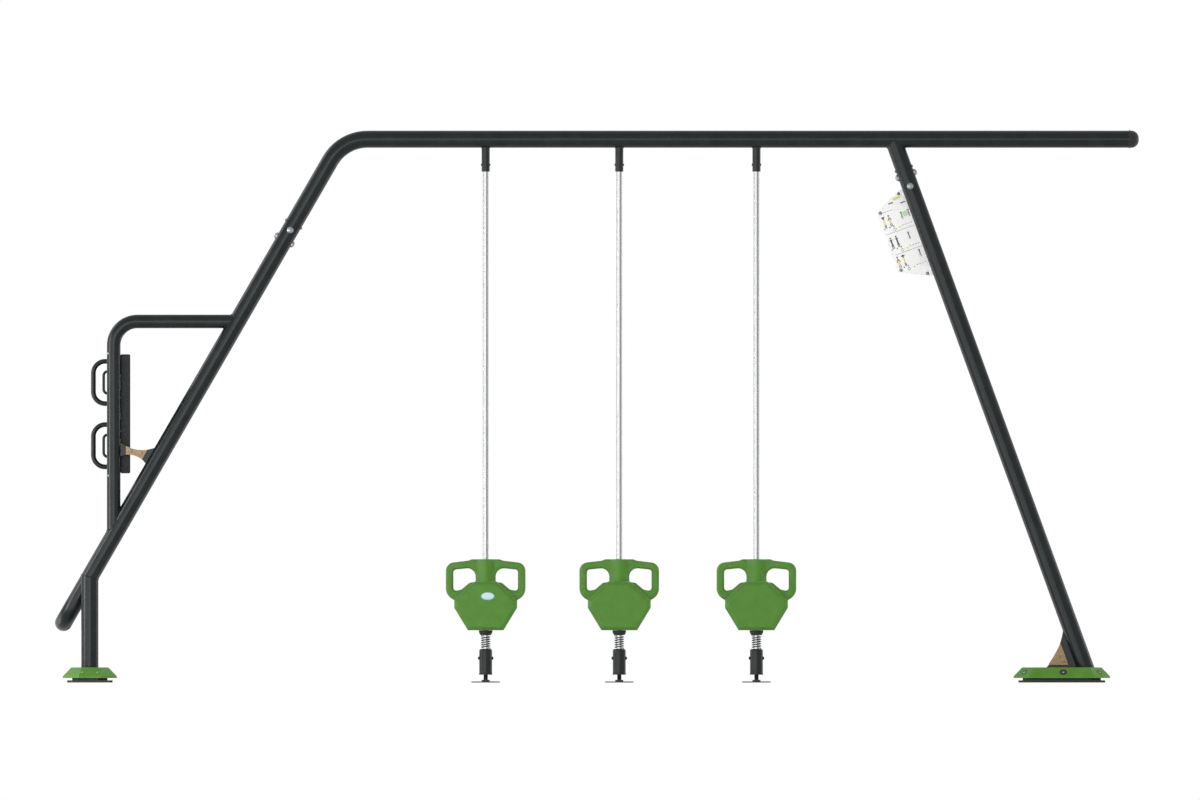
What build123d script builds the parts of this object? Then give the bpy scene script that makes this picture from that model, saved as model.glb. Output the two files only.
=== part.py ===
from build123d import *
import math
import os

# Outdoor fitness station in millimetres, +Z up.
# A long bar on two legs carries guide rods with lifting weights, and a frame with grips stands at its left end.
# X is measured from the axis of the left posts and is moved to the middle of the whole station on export.
# Y is measured from the middle plane between the front frame and the rear frame, with the front at minus Y.

# Tubes
MAIN_DIAMETER = 76.1
MAIN_WALL = 3.2
GRIP_FRAME_DIAMETER = 60.3
GRIP_FRAME_WALL = 2.9

# Main frame
FRAME_SPACING = 700.0
BAR_HEIGHT = 2400.0
BAR_REACH = 4589.0
BAR_BEND_RADIUS = 190.0
SLOPE_ANGLE = 30.0
MITRE_HEIGHT = 466.0
LEFT_JOINT_HEIGHT = 2025.0
RIGHT_LEG_TOP_X = 3548.0
RIGHT_LEG_ANGLE = 20.0
RIGHT_JOINT_DROP = 139.0
CAP_RIM_THICKNESS = 6.0
CAP_RIM_PROUD = 2.0

# Bolted tube joints
SPIGOT_CLEARANCE = 0.3
SPIGOT_WALL = 5.0
SPIGOT_ABOVE = 75.0
SPIGOT_BELOW = 120.0
COLLAR_THICKNESS = 11.0
COLLAR_PROUD = 4.0
JOINT_BOLT_DIAMETER = 10.0
JOINT_BOLT_CLEARANCE = 0.2
JOINT_HEAD_DIAMETER = 29.0
JOINT_HEAD_HEIGHT = 12.0
JOINT_HEAD_SIDE = 4.0
JOINT_BOLT_NEAR = 30.0
JOINT_BOLT_FAR = 81.0

# Rear frame, low foot bar and ties
FOOT_BAR_HEIGHT = 265.0
FOOT_BAR_BEND_RADIUS = 115.0
FOOT_ARM_GAP = 6.0
FOOT_ARM_TOP = 640.0
CROSS_TUBE_HEIGHT = 1690.0
REAR_SLOPE_ABOVE = 70.0
ARM_SADDLE_LOW = 530.0
ARM_SADDLE_HIGH = 605.0
ARM_SADDLE_WIDTH = 40.0
ARM_SADDLE_LENGTH = 50.0
TUBE_END_PLATE = 4.0

# Grip frames and grip board
GRIP_FRAME_X = 105.4
GRIP_FRAME_HEIGHT = 1595.0
GRIP_FRAME_BEND_RADIUS = 105.0
BOARD_THICKNESS = 43.0
BOARD_BOTTOM = 924.0
BOARD_TOP = 1450.0
BOARD_SIDE_GAP = 18.0
BOARD_TUBE_GAP = 0.1
BOARD_CHAMFER = 4.0
BOARD_SADDLE_INSET = 62.0
BOARD_SADDLE_WIDTH = 40.0
BOARD_SADDLE_HEIGHT = 44.0
BOARD_SADDLE_DEPTH = 26.0
BOARD_BOLT_DIAMETER = 10.0
BOARD_HEAD_DIAMETER = 24.0
BOARD_HEAD_HEIGHT = 7.0
BOARD_BOLT_CLEARANCE = 0.3

# Grips and band loops on the board
GRIP_DIAMETER = 21.3
GRIP_HEIGHT = 208.0
GRIP_PROJECTION = 130.5
GRIP_CORNER_RADIUS = 52.0
GRIP_FLANGE_DIAMETER = 46.0
GRIP_FLANGE_THICKNESS = 5.0
GRIP_SPREAD = 380.0
UPPER_GRIP_HEIGHT = 1325.5
LOWER_GRIP_HEIGHT = 1046.0
BAND_LOOP_DIAMETER = 12.0
BAND_LOOP_HEIGHT = 109.0
BAND_LOOP_PROJECTION = 80.6
BAND_LOOP_CORNER_RADIUS = 18.0
BAND_LOOP_FLANGE_DIAMETER = 28.0
BAND_LOOP_FLANGE_THICKNESS = 4.0

# Gusset plates with wooden inlays
GUSSET_THICKNESS = 8.0
INLAY_THICKNESS = 12.0
GRIP_GUSSET_TOP = 1060.0
GRIP_GUSSET_BOTTOM = 1000.0
GRIP_GUSSET_SLOPE_TOP = 1037.0
GRIP_GUSSET_SLOPE_BOTTOM = 968.0
GRIP_GUSSET_SAG = 20.0
GRIP_INLAY_TUBE_GAP = 24.0
GRIP_INLAY_SLOPE_GAP = 26.0
LEG_GUSSET_TOP = 228.0
LEG_GUSSET_REACH = 197.0
LEG_GUSSET_SAG = 27.0
LEG_INLAY_TOP = 176.0
LEG_INLAY_BOTTOM = 78.0
LEG_INLAY_WIDTH = 91.0
LEG_INLAY_LEG_GAP = 30.0
LEG_INLAY_SAG = 4.0
LEG_INLAY_ROUNDING = 4.0

# Bases
ANCHOR_PLATE_THICKNESS = 10.0
FLANGE_THICKNESS = 10.0
PLATE_WIDTH = 201.0
FLANGE_WIDTH = 156.0
LEG_PLATE_LENGTH = 383.0
LEG_FLANGE_LENGTH = 345.0
LEG_BASE_OFFSET = 121.0
PLATE_CORNER = 14.0
FLANGE_CORNER = 42.0
ANCHOR_HOLE_DIAMETER = 14.0
ANCHOR_HOLE_EDGE = 14.5
COVER_WIDTH = 239.0
COVER_LENGTH = 426.0
COVER_CORNER = 70.0
COVER_HEIGHT = 47.0
COVER_RIM = 8.0
COVER_INSET = 38.0
COVER_WALL = 4.0
COVER_ROUNDING = 5.0
COVER_OPENING_GAP = 0.8
FLANGE_BOLT_DIAMETER = 12.0
FLANGE_HEAD_SIZE = 19.0
FLANGE_HEAD_HEIGHT = 8.0
FLANGE_BOLT_EDGE = 16.0
FLANGE_BOLT_CORNER_EDGE = 44.0
FLANGE_BOLT_CLEARANCE = 0.3
FLANGE_BOLT_END_GAP = 1.0

# Guide rods and their ends
FIRST_ROD_X = 1748.5
SECOND_ROD_X = 2338.5
THIRD_ROD_X = 2944.5
ROD_DIAMETER = 25.0
ROD_SEAT_CLEARANCE = 0.1
SLEEVE_DIAMETER = 36.0
SLEEVE_BOTTOM = 2257.0
ROD_TOP_GAP = 6.0
SOCKET_DIAMETER = 57.0
SOCKET_BOTTOM = 34.5
SOCKET_TOP = 149.0
SOCKET_SHOULDER = 9.0
ROD_BOTTOM = 80.0
STUD_DIAMETER = 18.0
STUD_TOP = 66.0
FOOT_NUT_SIZE = 31.0
FOOT_NUT_TOP = 12.0
FOOT_PLATE_DIAMETER = 127.0
FOOT_PLATE_THICKNESS = 5.0
FOOT_HOLE_CIRCLE = 98.0
FOOT_HOLE_DIAMETER = 9.0
FOOT_HOLES = 4

# Springs and rubber buffers under the weights
SPRING_DIAMETER = 43.0
SPRING_WIRE = 4.5
SPRING_HALF_TURNS = 11
SPRING_SEAT_GAP = 0.2
BUFFER_BOTTOM = 209.0
BUFFER_BOTTOM_DIAMETER = 44.0
BUFFER_TOP_DIAMETER = 60.0
BUFFER_LIP = 4.0
BUFFER_BORE_CLEARANCE = 0.1
WEIGHT_GAP = 0.3

# Lifting weights, measured from their underside and their middle
WEIGHT_BOTTOM = 231.0
WEIGHT_HEIGHT = 314.0
WEIGHT_HALF_WIDTH = 176.0
BODY_DEPTH = 116.0
BODY_BEVEL = 13.0
BODY_BOTTOM_HALF = 79.0
BODY_SIDE_HALF = 139.0
BODY_SIDE_LOW = 99.0
BODY_SIDE_HIGH = 130.0
BODY_SHOULDER_HALF = 50.0
BODY_SHOULDER = 214.0
NECK_DIAMETER = 79.0
NECK_ROUNDING = 3.0
HANDLE_DEPTH = 34.0
HANDLE_ROUNDING = 10.0
HANDLE_BAR_WIDTH = 33.6
HANDLE_CREST_HALF = 62.0
HANDLE_CREST_DROP = 6.0
HANDLE_CREST_RUN = 14.0
HANDLE_SHOULDER = 296.0
HANDLE_CORNER_RADIUS = 38.0
HANDLE_HEEL = 149.4
HANDLE_HEEL_RADIUS = 55.0
HANDLE_ROOT_HALF = 100.0
HANDLE_ROOT = 117.0
HOLE_CORNER_RADIUS = 12.0
HOLE_TOP = 267.0
HOLE_CREST = 277.0
HOLE_CREST_RADIUS = 36.0
HOLE_INNER_HALF = 44.5
HOLE_INNER_FLOOR = 214.0
HOLE_STEP_HALF = 72.0
HOLE_STEP = 210.0
HOLE_RAMP_HALF = 108.0
HOLE_RAMP = 179.5
HOLE_FLOOR = 173.5
HOLE_RAMP_RADIUS = 20.0
CARRIAGE_DIAMETER = 34.0
CARRIAGE_CLEARANCE = 0.08
CARRIAGE_FLANGE_DIAMETER = 52.0
CARRIAGE_FLANGE_THICKNESS = 5.0
CARRIAGE_FLANGE_GAP = 0.3

# Information board, measured from the bar along the leg and out from the leg's axis
SIGN_OUTER_REACH = 180.0
SIGN_OUTER_TOP = 280.0
SIGN_OUTER_LENGTH = 284.0
SIGN_SLANT_REACH = 134.0
SIGN_SLANT_RISE = 62.0
SIGN_BACK_REACH = 30.0
SIGN_THICKNESS = 6.0
SIGN_BOLT_GAP = 3.0
SIGN_TAB_WIDTH = 44.0
SIGN_TAB_LENGTH = 60.0
SIGN_TAB_INSET = 70.0

# Places worked out from the sizes above
MAIN_RADIUS = MAIN_DIAMETER / 2
GRIP_FRAME_RADIUS = GRIP_FRAME_DIAMETER / 2
FRONT_Y = -FRAME_SPACING / 2
REAR_Y = FRAME_SPACING / 2
SLOPE_RUN = math.tan(math.radians(SLOPE_ANGLE))
SLOPE_SIDE = MAIN_RADIUS / math.cos(math.radians(SLOPE_ANGLE))
SLOPE_DOWN = Vector(-math.sin(math.radians(SLOPE_ANGLE)), 0, -math.cos(math.radians(SLOPE_ANGLE)))
LEG_RUN = math.tan(math.radians(RIGHT_LEG_ANGLE))
LEG_SIDE = MAIN_RADIUS / math.cos(math.radians(RIGHT_LEG_ANGLE))
LEG_DOWN = Vector(math.sin(math.radians(RIGHT_LEG_ANGLE)), 0, -math.cos(math.radians(RIGHT_LEG_ANGLE)))
LEG_OUT = Vector(-math.cos(math.radians(RIGHT_LEG_ANGLE)), 0, -math.sin(math.radians(RIGHT_LEG_ANGLE)))
FLANGE_TOP = ANCHOR_PLATE_THICKNESS + FLANGE_THICKNESS
FOOT_ARM_Y = FRONT_Y + MAIN_DIAMETER + FOOT_ARM_GAP
REAR_SLOPE_TOP = CROSS_TUBE_HEIGHT + REAR_SLOPE_ABOVE
BOARD_FACE = GRIP_FRAME_X + GRIP_FRAME_RADIUS + BOARD_TUBE_GAP
BOARD_BACK = BOARD_FACE + BOARD_THICKNESS
BOARD_HALF_WIDTH = FRAME_SPACING / 2 - BOARD_SIDE_GAP
BAR_TIP = BAR_REACH + CAP_RIM_THICKNESS + MAIN_RADIUS
STATION_LEFT = (FOOT_BAR_HEIGHT - MITRE_HEIGHT) * SLOPE_RUN - MAIN_RADIUS
CENTRE_X = (STATION_LEFT + BAR_TIP) / 2
WEIGHT_TOP = WEIGHT_BOTTOM + WEIGHT_HEIGHT
LEG_FOOT_X = RIGHT_LEG_TOP_X + (BAR_HEIGHT - FLANGE_TOP) * LEG_RUN
LEG_BASE_X = LEG_FOOT_X - LEG_BASE_OFFSET
RODS = (FIRST_ROD_X, SECOND_ROD_X, THIRD_ROD_X)
ROD_TOP = BAR_HEIGHT - MAIN_RADIUS - ROD_TOP_GAP
SIGN_STANDOFF = MAIN_RADIUS + JOINT_HEAD_HEIGHT + SIGN_BOLT_GAP
SIGN_FACE = FRONT_Y + SIGN_STANDOFF


def slope_point(height, y):
    """Point on the axis of a sloping leg."""
    return Vector((height - MITRE_HEIGHT) * SLOPE_RUN, y, height)


def slope_edge(height):
    """X of a sloping leg's left side."""
    return (height - MITRE_HEIGHT) * SLOPE_RUN - SLOPE_SIDE


def leg_point(along):
    """Point on the right leg's axis, measured down from the bar's axis."""
    return Vector(RIGHT_LEG_TOP_X, FRONT_Y, BAR_HEIGHT) + LEG_DOWN * along


def leg_edge(height):
    """X of the right leg's left side."""
    return RIGHT_LEG_TOP_X + (BAR_HEIGHT - height) * LEG_RUN - LEG_SIDE


def round_bar(start, end, radius):
    """Solid round bar between two points."""
    start = Vector(*start)
    run = Vector(*end) - start
    return extrude(Plane(origin=start, z_dir=run) * Circle(radius), amount=run.length)


def straight_tube(start, end, radius, wall):
    """Hollow round tube between two points."""
    return round_bar(start, end, radius) - round_bar(start, end, radius - wall)


def bent_tube(path, radius, wall):
    """Hollow round tube along a path of straight runs and tangent bends."""
    section = Circle(radius) - Circle(radius - wall)
    return sweep(Plane(origin=path @ 0, z_dir=path % 0) * section, path=path)


def upright_plate(face, y, thickness):
    """Plate parallel to the frame, from a face drawn in X and Z, with its middle at y."""
    plane = Plane(origin=(0, y + thickness / 2, 0), x_dir=(1, 0, 0), z_dir=(0, -1, 0))
    return extrude(plane * face, amount=thickness)


def slope_core(y):
    """Solid that fills a sloping leg over its whole length."""
    return round_bar(slope_point(FOOT_BAR_HEIGHT, y), slope_point(BAR_HEIGHT, y), MAIN_RADIUS)


def leg_core(radius):
    """Solid that fills the right leg over its whole length."""
    return round_bar(leg_point(0), leg_point(BAR_HEIGHT / math.cos(math.radians(RIGHT_LEG_ANGLE))), radius)


def bar_core():
    """Solid that fills the straight part of the top bar."""
    return round_bar((0, FRONT_Y, BAR_HEIGHT), (BAR_REACH, FRONT_Y, BAR_HEIGHT), MAIN_RADIUS)


def grip_frame_core(y):
    """Solid that fills the upright of a grip frame."""
    return round_bar((GRIP_FRAME_X, y, 0), (GRIP_FRAME_X, y, GRIP_FRAME_HEIGHT), GRIP_FRAME_RADIUS)


def mitre_plane():
    """Plane that halves the angle between the front post and the sloping leg."""
    half = math.radians(SLOPE_ANGLE / 2)
    return Plane(origin=slope_point(MITRE_HEIGHT, FRONT_Y), z_dir=(math.sin(half), 0, math.cos(half)))


LEFT_RING = slope_point(LEFT_JOINT_HEIGHT, FRONT_Y)
RIGHT_RING = leg_point(RIGHT_JOINT_DROP)
ACROSS = Vector(0, 1, 0)
LEFT_BOLTS = (
    (LEFT_RING + SLOPE_DOWN * JOINT_BOLT_NEAR, ACROSS),
    (LEFT_RING + SLOPE_DOWN * JOINT_BOLT_FAR, SLOPE_DOWN.cross(ACROSS)),
)
RIGHT_BOLTS = (
    (RIGHT_RING + LEG_DOWN * JOINT_BOLT_NEAR, LEG_DOWN.cross(ACROSS)),
    (RIGHT_RING + LEG_DOWN * JOINT_BOLT_FAR, ACROSS),
)


def bolt_holes(bolts):
    """Cutters for the bolts across a tube joint."""
    radius = JOINT_BOLT_DIAMETER / 2 + JOINT_BOLT_CLEARANCE
    reach = MAIN_DIAMETER
    return [round_bar(place - way * reach, place + way * reach, radius) for place, way in bolts]


def joint_bolt(centre, direction, along):
    """Through bolt with a domed head on each side, hollowed to sit on a tube that runs along."""
    head_radius = JOINT_HEAD_DIAMETER / 2
    side = MAIN_RADIUS + JOINT_HEAD_SIDE
    top = MAIN_RADIUS + JOINT_HEAD_HEIGHT
    outline = Polyline((0, top), (0, 0), (head_radius, 0), (head_radius, side))
    dome = TangentArc((0, top), (head_radius, side), tangent=(1, 0))
    head = revolve(Plane.XZ * make_face(outline.edges() + dome.edges()), axis=Axis.Z)
    tube = round_bar((-MAIN_DIAMETER, 0, 0), (MAIN_DIAMETER, 0, 0), MAIN_RADIUS)
    shank = round_bar((0, 0, -side), (0, 0, side), JOINT_BOLT_DIAMETER / 2)
    bolt = shank + (head - tube) + (Rot(180, 0, 0) * head - tube)
    return Plane(origin=centre, x_dir=along, z_dir=direction).location * bolt


def spigot(ring, down, bolts):
    """Inner tube with a collar ring, joining an upper tube to a lower one."""
    radius = MAIN_RADIUS - MAIN_WALL - SPIGOT_CLEARANCE
    half = down * (COLLAR_THICKNESS / 2)
    inner = round_bar(ring - down * SPIGOT_ABOVE, ring + down * SPIGOT_BELOW, radius)
    collar = round_bar(ring - half, ring + half, MAIN_RADIUS + COLLAR_PROUD)
    bore = round_bar(ring - down * SPIGOT_ABOVE, ring + down * SPIGOT_BELOW, radius - SPIGOT_WALL)
    return inner + collar - bore - bolt_holes(bolts)


def top_bar():
    """Top bar with the bend that turns it down into the upper sloping leg."""
    start = LEFT_RING - SLOPE_DOWN * (COLLAR_THICKNESS / 2)
    corner = slope_point(BAR_HEIGHT, FRONT_Y)
    end = (BAR_REACH, FRONT_Y, BAR_HEIGHT)
    path = FilletPolyline(start, corner, end, radius=BAR_BEND_RADIUS)
    return bent_tube(path, MAIN_RADIUS, MAIN_WALL)


def top_bar_cap():
    """Domed cap with a rim on the free end of the top bar."""
    rim = MAIN_RADIUS + CAP_RIM_PROUD
    outline = Polyline((0, CAP_RIM_THICKNESS + MAIN_RADIUS), (0, 0), (rim, 0), (rim, CAP_RIM_THICKNESS),
                       (MAIN_RADIUS, CAP_RIM_THICKNESS))
    crown = (MAIN_RADIUS * math.sqrt(0.5), CAP_RIM_THICKNESS + MAIN_RADIUS * math.sqrt(0.5))
    dome = ThreePointArc((MAIN_RADIUS, CAP_RIM_THICKNESS), crown, (0, CAP_RIM_THICKNESS + MAIN_RADIUS))
    cap = revolve(Plane.XZ * make_face(outline.edges() + dome.edges()), axis=Axis.Z)
    return Plane(origin=(BAR_REACH, FRONT_Y, BAR_HEIGHT), z_dir=(1, 0, 0)).location * cap


def left_leg():
    """Lower sloping leg, from the bolted joint down to the mitre on the post."""
    start = LEFT_RING + SLOPE_DOWN * (COLLAR_THICKNESS / 2)
    tube = straight_tube(start, slope_point(FOOT_BAR_HEIGHT, FRONT_Y), MAIN_RADIUS, MAIN_WALL)
    return split(tube, bisect_by=mitre_plane(), keep=Keep.TOP) - bolt_holes(LEFT_BOLTS)


def front_post():
    """Front post, mitred to the sloping leg."""
    tube = straight_tube((0, FRONT_Y, FLANGE_TOP), (0, FRONT_Y, MITRE_HEIGHT * 2), MAIN_RADIUS, MAIN_WALL)
    return split(tube, bisect_by=mitre_plane(), keep=Keep.BOTTOM)


def rear_post():
    """Rear post, cut to fit under the rear sloping tube."""
    tube = straight_tube((0, REAR_Y, FLANGE_TOP), (0, REAR_Y, MITRE_HEIGHT), MAIN_RADIUS, MAIN_WALL)
    corner = slope_point(FOOT_BAR_HEIGHT, REAR_Y)
    points = [slope_point(FOOT_BAR_HEIGHT, 0), corner, slope_point(REAR_SLOPE_TOP, REAR_Y)]
    path = FilletPolyline(*points, radius=FOOT_BAR_BEND_RADIUS)
    return tube - sweep(Plane(origin=path @ 0, z_dir=path % 0) * Circle(MAIN_RADIUS), path=path)


def leg_stub():
    """Short tube under the top bar that takes the right leg's joint."""
    end = RIGHT_RING - LEG_DOWN * (COLLAR_THICKNESS / 2)
    return straight_tube(leg_point(0), end, MAIN_RADIUS, MAIN_WALL) - bar_core()


def right_leg():
    """Right leg, from its bolted joint down to the base flange."""
    start = RIGHT_RING + LEG_DOWN * (COLLAR_THICKNESS / 2)
    tube = straight_tube(start, leg_point(BAR_HEIGHT / LEG_DOWN.Z * -1), MAIN_RADIUS, MAIN_WALL)
    return split(tube, bisect_by=Plane.XY.offset(FLANGE_TOP), keep=Keep.TOP) - bolt_holes(RIGHT_BOLTS)


def foot_bar_path():
    """Axis of the foot bar: down behind the front leg, across at the bottom and up the rear slope."""
    corners = [slope_point(FOOT_BAR_HEIGHT, y) for y in (FOOT_ARM_Y, REAR_Y)]
    points = [slope_point(FOOT_ARM_TOP, FOOT_ARM_Y)] + corners + [slope_point(REAR_SLOPE_TOP, REAR_Y)]
    return FilletPolyline(*points, radius=FOOT_BAR_BEND_RADIUS)


def foot_bar():
    """One bent tube with closed ends: a short arm, the low foot bar and the rear sloping tube."""
    path = foot_bar_path()
    plates = [round_bar(end + SLOPE_DOWN * TUBE_END_PLATE, end, MAIN_RADIUS) for end in (path @ 0, path @ 1)]
    return bent_tube(path, MAIN_RADIUS, MAIN_WALL) + plates


def arm_saddles():
    """Blocks between the front sloping leg and the arm of the foot bar."""
    cores = [slope_core(FRONT_Y), slope_core(FOOT_ARM_Y)]
    depth = FOOT_ARM_Y - FRONT_Y
    blocks = []
    for height in (ARM_SADDLE_LOW, ARM_SADDLE_HIGH):
        middle = slope_point(height, FRONT_Y + depth / 2)
        place = Plane(origin=middle, x_dir=(0, 1, 0), z_dir=SLOPE_DOWN)
        blocks.append(place.location * Box(depth, ARM_SADDLE_WIDTH, ARM_SADDLE_LENGTH) - cores)
    return blocks


def cross_tube():
    """Tie between the front and the rear sloping tubes."""
    front = slope_point(CROSS_TUBE_HEIGHT, FRONT_Y)
    rear = slope_point(CROSS_TUBE_HEIGHT, REAR_Y)
    tube = straight_tube(front, rear, GRIP_FRAME_RADIUS, GRIP_FRAME_WALL)
    return tube - slope_core(FRONT_Y) - slope_core(REAR_Y)


def grip_frame(y):
    """Bent tube that leaves the sloping leg level and turns down to meet it again."""
    low = MITRE_HEIGHT + GRIP_FRAME_X / SLOPE_RUN
    corner = Vector(GRIP_FRAME_X, y, GRIP_FRAME_HEIGHT)
    points = [slope_point(GRIP_FRAME_HEIGHT, y), corner, slope_point(low, y)]
    path = FilletPolyline(*points, radius=GRIP_FRAME_BEND_RADIUS)
    return bent_tube(path, GRIP_FRAME_RADIUS, GRIP_FRAME_WALL) - slope_core(y)


def board_bolt_places():
    """Y and Z of the bolts that hold the grip board to its saddles."""
    across = BOARD_HALF_WIDTH - BOARD_SADDLE_WIDTH / 2
    heights = (BOARD_BOTTOM + BOARD_SADDLE_INSET, BOARD_TOP - BOARD_SADDLE_INSET)
    return [(side * across, height) for side in (-1, 1) for height in heights]


def grip_board():
    """Thick board between the two grip frames, with bolt heads sunk in its back."""
    middle = ((BOARD_FACE + BOARD_BACK) / 2, 0, (BOARD_BOTTOM + BOARD_TOP) / 2)
    board = Pos(*middle) * Box(BOARD_THICKNESS, BOARD_HALF_WIDTH * 2, BOARD_TOP - BOARD_BOTTOM)
    board = chamfer(board.edges(), BOARD_CHAMFER)
    shank = BOARD_BOLT_DIAMETER / 2 + BOARD_BOLT_CLEARANCE
    head = BOARD_HEAD_DIAMETER / 2 + BOARD_BOLT_CLEARANCE
    for y, z in board_bolt_places():
        board -= round_bar((BOARD_FACE, y, z), (BOARD_BACK, y, z), shank)
        board -= round_bar((BOARD_BACK - BOARD_HEAD_HEIGHT, y, z), (BOARD_BACK, y, z), head)
    return board


def board_saddles():
    """Blocks hollowed to sit on the grip frames' uprights, behind which the board is bolted."""
    cores = [grip_frame_core(FRONT_Y), grip_frame_core(REAR_Y)]
    hole = BOARD_BOLT_DIAMETER / 2 + BOARD_BOLT_CLEARANCE
    saddles = []
    for y, z in board_bolt_places():
        block = Pos(BOARD_FACE - BOARD_SADDLE_DEPTH / 2, y, z)
        block *= Box(BOARD_SADDLE_DEPTH, BOARD_SADDLE_WIDTH, BOARD_SADDLE_HEIGHT)
        block -= round_bar((BOARD_FACE - BOARD_SADDLE_DEPTH, y, z), (BOARD_FACE, y, z), hole)
        saddles.append(block - cores)
    return saddles


def board_bolts():
    """Bolts through the grip board into its saddles."""
    bolts = []
    for y, z in board_bolt_places():
        shank = round_bar((BOARD_FACE - BOARD_SADDLE_DEPTH, y, z), (BOARD_BACK, y, z), BOARD_BOLT_DIAMETER / 2)
        seat = (BOARD_BACK - BOARD_HEAD_HEIGHT, y, z)
        bolts.append(shank + round_bar(seat, (BOARD_BACK, y, z), BOARD_HEAD_DIAMETER / 2))
    return bolts


def loop(y, height, size, diameter, projection, corner_radius, flange_diameter, flange_thickness):
    """Bent round bar that stands out from the board, with a round flange at each end."""
    radius = diameter / 2
    low = height - size / 2 + radius
    high = height + size / 2 - radius
    out = BOARD_FACE - projection + radius
    points = [(BOARD_FACE, y, low), (out, y, low), (out, y, high), (BOARD_FACE, y, high)]
    path = FilletPolyline(*points, radius=corner_radius)
    bar = sweep(Plane(origin=path @ 0, z_dir=path % 0) * Circle(radius), path=path)
    rims = [round_bar((BOARD_FACE - flange_thickness, y, z), (BOARD_FACE, y, z), flange_diameter / 2)
            for z in (low, high)]
    return bar + rims


def grip(y, height):
    """Hand grip on the board."""
    return loop(y, height, GRIP_HEIGHT, GRIP_DIAMETER, GRIP_PROJECTION, GRIP_CORNER_RADIUS,
                GRIP_FLANGE_DIAMETER, GRIP_FLANGE_THICKNESS)


def band_loop(height):
    """Small loop for a band in the middle of the board."""
    return loop(0, height, BAND_LOOP_HEIGHT, BAND_LOOP_DIAMETER, BAND_LOOP_PROJECTION, BAND_LOOP_CORNER_RADIUS,
                BAND_LOOP_FLANGE_DIAMETER, BAND_LOOP_FLANGE_THICKNESS)


def grip_gusset_face():
    """Outline of the gusset between a grip frame's upright and the sloping leg, hollow above and below."""
    tube_side = GRIP_FRAME_X + GRIP_FRAME_RADIUS
    top = [(tube_side, GRIP_GUSSET_TOP), (slope_edge(GRIP_GUSSET_SLOPE_TOP), GRIP_GUSSET_SLOPE_TOP)]
    low = [(slope_edge(GRIP_GUSSET_SLOPE_BOTTOM), GRIP_GUSSET_SLOPE_BOTTOM), (tube_side, GRIP_GUSSET_BOTTOM)]
    top_middle = ((top[0][0] + top[1][0]) / 2, (top[0][1] + top[1][1]) / 2 - GRIP_GUSSET_SAG)
    low_middle = ((low[0][0] + low[1][0]) / 2, (low[0][1] + low[1][1]) / 2 + GRIP_GUSSET_SAG)
    slope_end = [(x + SLOPE_SIDE, z) for x, z in (top[1], low[0])]
    left = Polyline(low[1], (GRIP_FRAME_X, GRIP_GUSSET_BOTTOM), (GRIP_FRAME_X, GRIP_GUSSET_TOP), top[0])
    right = Polyline(top[1], slope_end[0], slope_end[1], low[0])
    arcs = [ThreePointArc(top[0], top_middle, top[1]), ThreePointArc(low[0], low_middle, low[1])]
    return make_face(left.edges() + right.edges() + [a.edge() for a in arcs])


def grip_gusset(y):
    """Steel gusset plate of a grip frame."""
    plate = upright_plate(grip_gusset_face(), y, GUSSET_THICKNESS)
    return plate - grip_frame_core(y) - slope_core(y)


def both_faces(face, y):
    """A pair of wooden inlays on the two faces of a gusset."""
    offset = (GUSSET_THICKNESS + INLAY_THICKNESS) / 2
    return [upright_plate(face, y + side * offset, INLAY_THICKNESS) for side in (-1, 1)]


def grip_gusset_inlays(y):
    """Wooden inlays that cover the middle of a grip frame's gusset."""
    left = GRIP_FRAME_X + GRIP_FRAME_RADIUS + GRIP_INLAY_TUBE_GAP
    low, high = GRIP_GUSSET_SLOPE_BOTTOM, GRIP_GUSSET_TOP
    right = [(slope_edge(z) - GRIP_INLAY_SLOPE_GAP, z) for z in (low, high)]
    band = make_face(Polyline((left, low), right[0], right[1], (left, high), close=True))
    return both_faces(grip_gusset_face() & band, y)


def leg_gusset_edge(height):
    """X of the hollow edge of the right leg's gusset."""
    share = (height - FLANGE_TOP) / (LEG_GUSSET_TOP - FLANGE_TOP)
    foot = leg_edge(FLANGE_TOP) - LEG_GUSSET_REACH
    chord = foot + share * (leg_edge(LEG_GUSSET_TOP) - foot)
    return chord + 4 * LEG_GUSSET_SAG * share * (1 - share)


def right_gusset():
    """Gusset plate between the right leg and its base flange."""
    middle = (LEG_GUSSET_TOP + FLANGE_TOP) / 2
    edge = [(leg_gusset_edge(z), z) for z in (FLANGE_TOP, middle, LEG_GUSSET_TOP)]
    axis = [(leg_edge(z) + LEG_SIDE, z) for z in (LEG_GUSSET_TOP, FLANGE_TOP)]
    rest = Polyline(edge[2], axis[0], axis[1], edge[0])
    face = make_face([ThreePointArc(*edge).edge()] + rest.edges())
    return upright_plate(face, FRONT_Y, GUSSET_THICKNESS) - leg_core(MAIN_RADIUS)


def right_gusset_inlays():
    """Wooden inlays on the right leg's gusset, with one side along the leg and one side hollow."""
    right = (leg_edge(LEG_INLAY_BOTTOM) - LEG_INLAY_LEG_GAP, LEG_INLAY_BOTTOM)
    top = (right[0] - LEG_RUN * (LEG_INLAY_TOP - LEG_INLAY_BOTTOM), LEG_INLAY_TOP)
    left = (right[0] - LEG_INLAY_WIDTH, LEG_INLAY_BOTTOM)
    hollow = ((top[0] + left[0]) / 2 + LEG_INLAY_SAG, (top[1] + left[1]) / 2)
    outline = make_face(Polyline(left, right, top).edges() + ThreePointArc(top, hollow, left).edges())
    return both_faces(fillet(outline.vertices(), LEG_INLAY_ROUNDING), FRONT_Y)


def cut_corner_plate(x, y, bottom, length, width, corner, thickness):
    """Flat plate with cut corners."""
    face = chamfer(Rectangle(length, width).vertices(), corner)
    return Pos(x, y, bottom) * extrude(face, amount=thickness)


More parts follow.
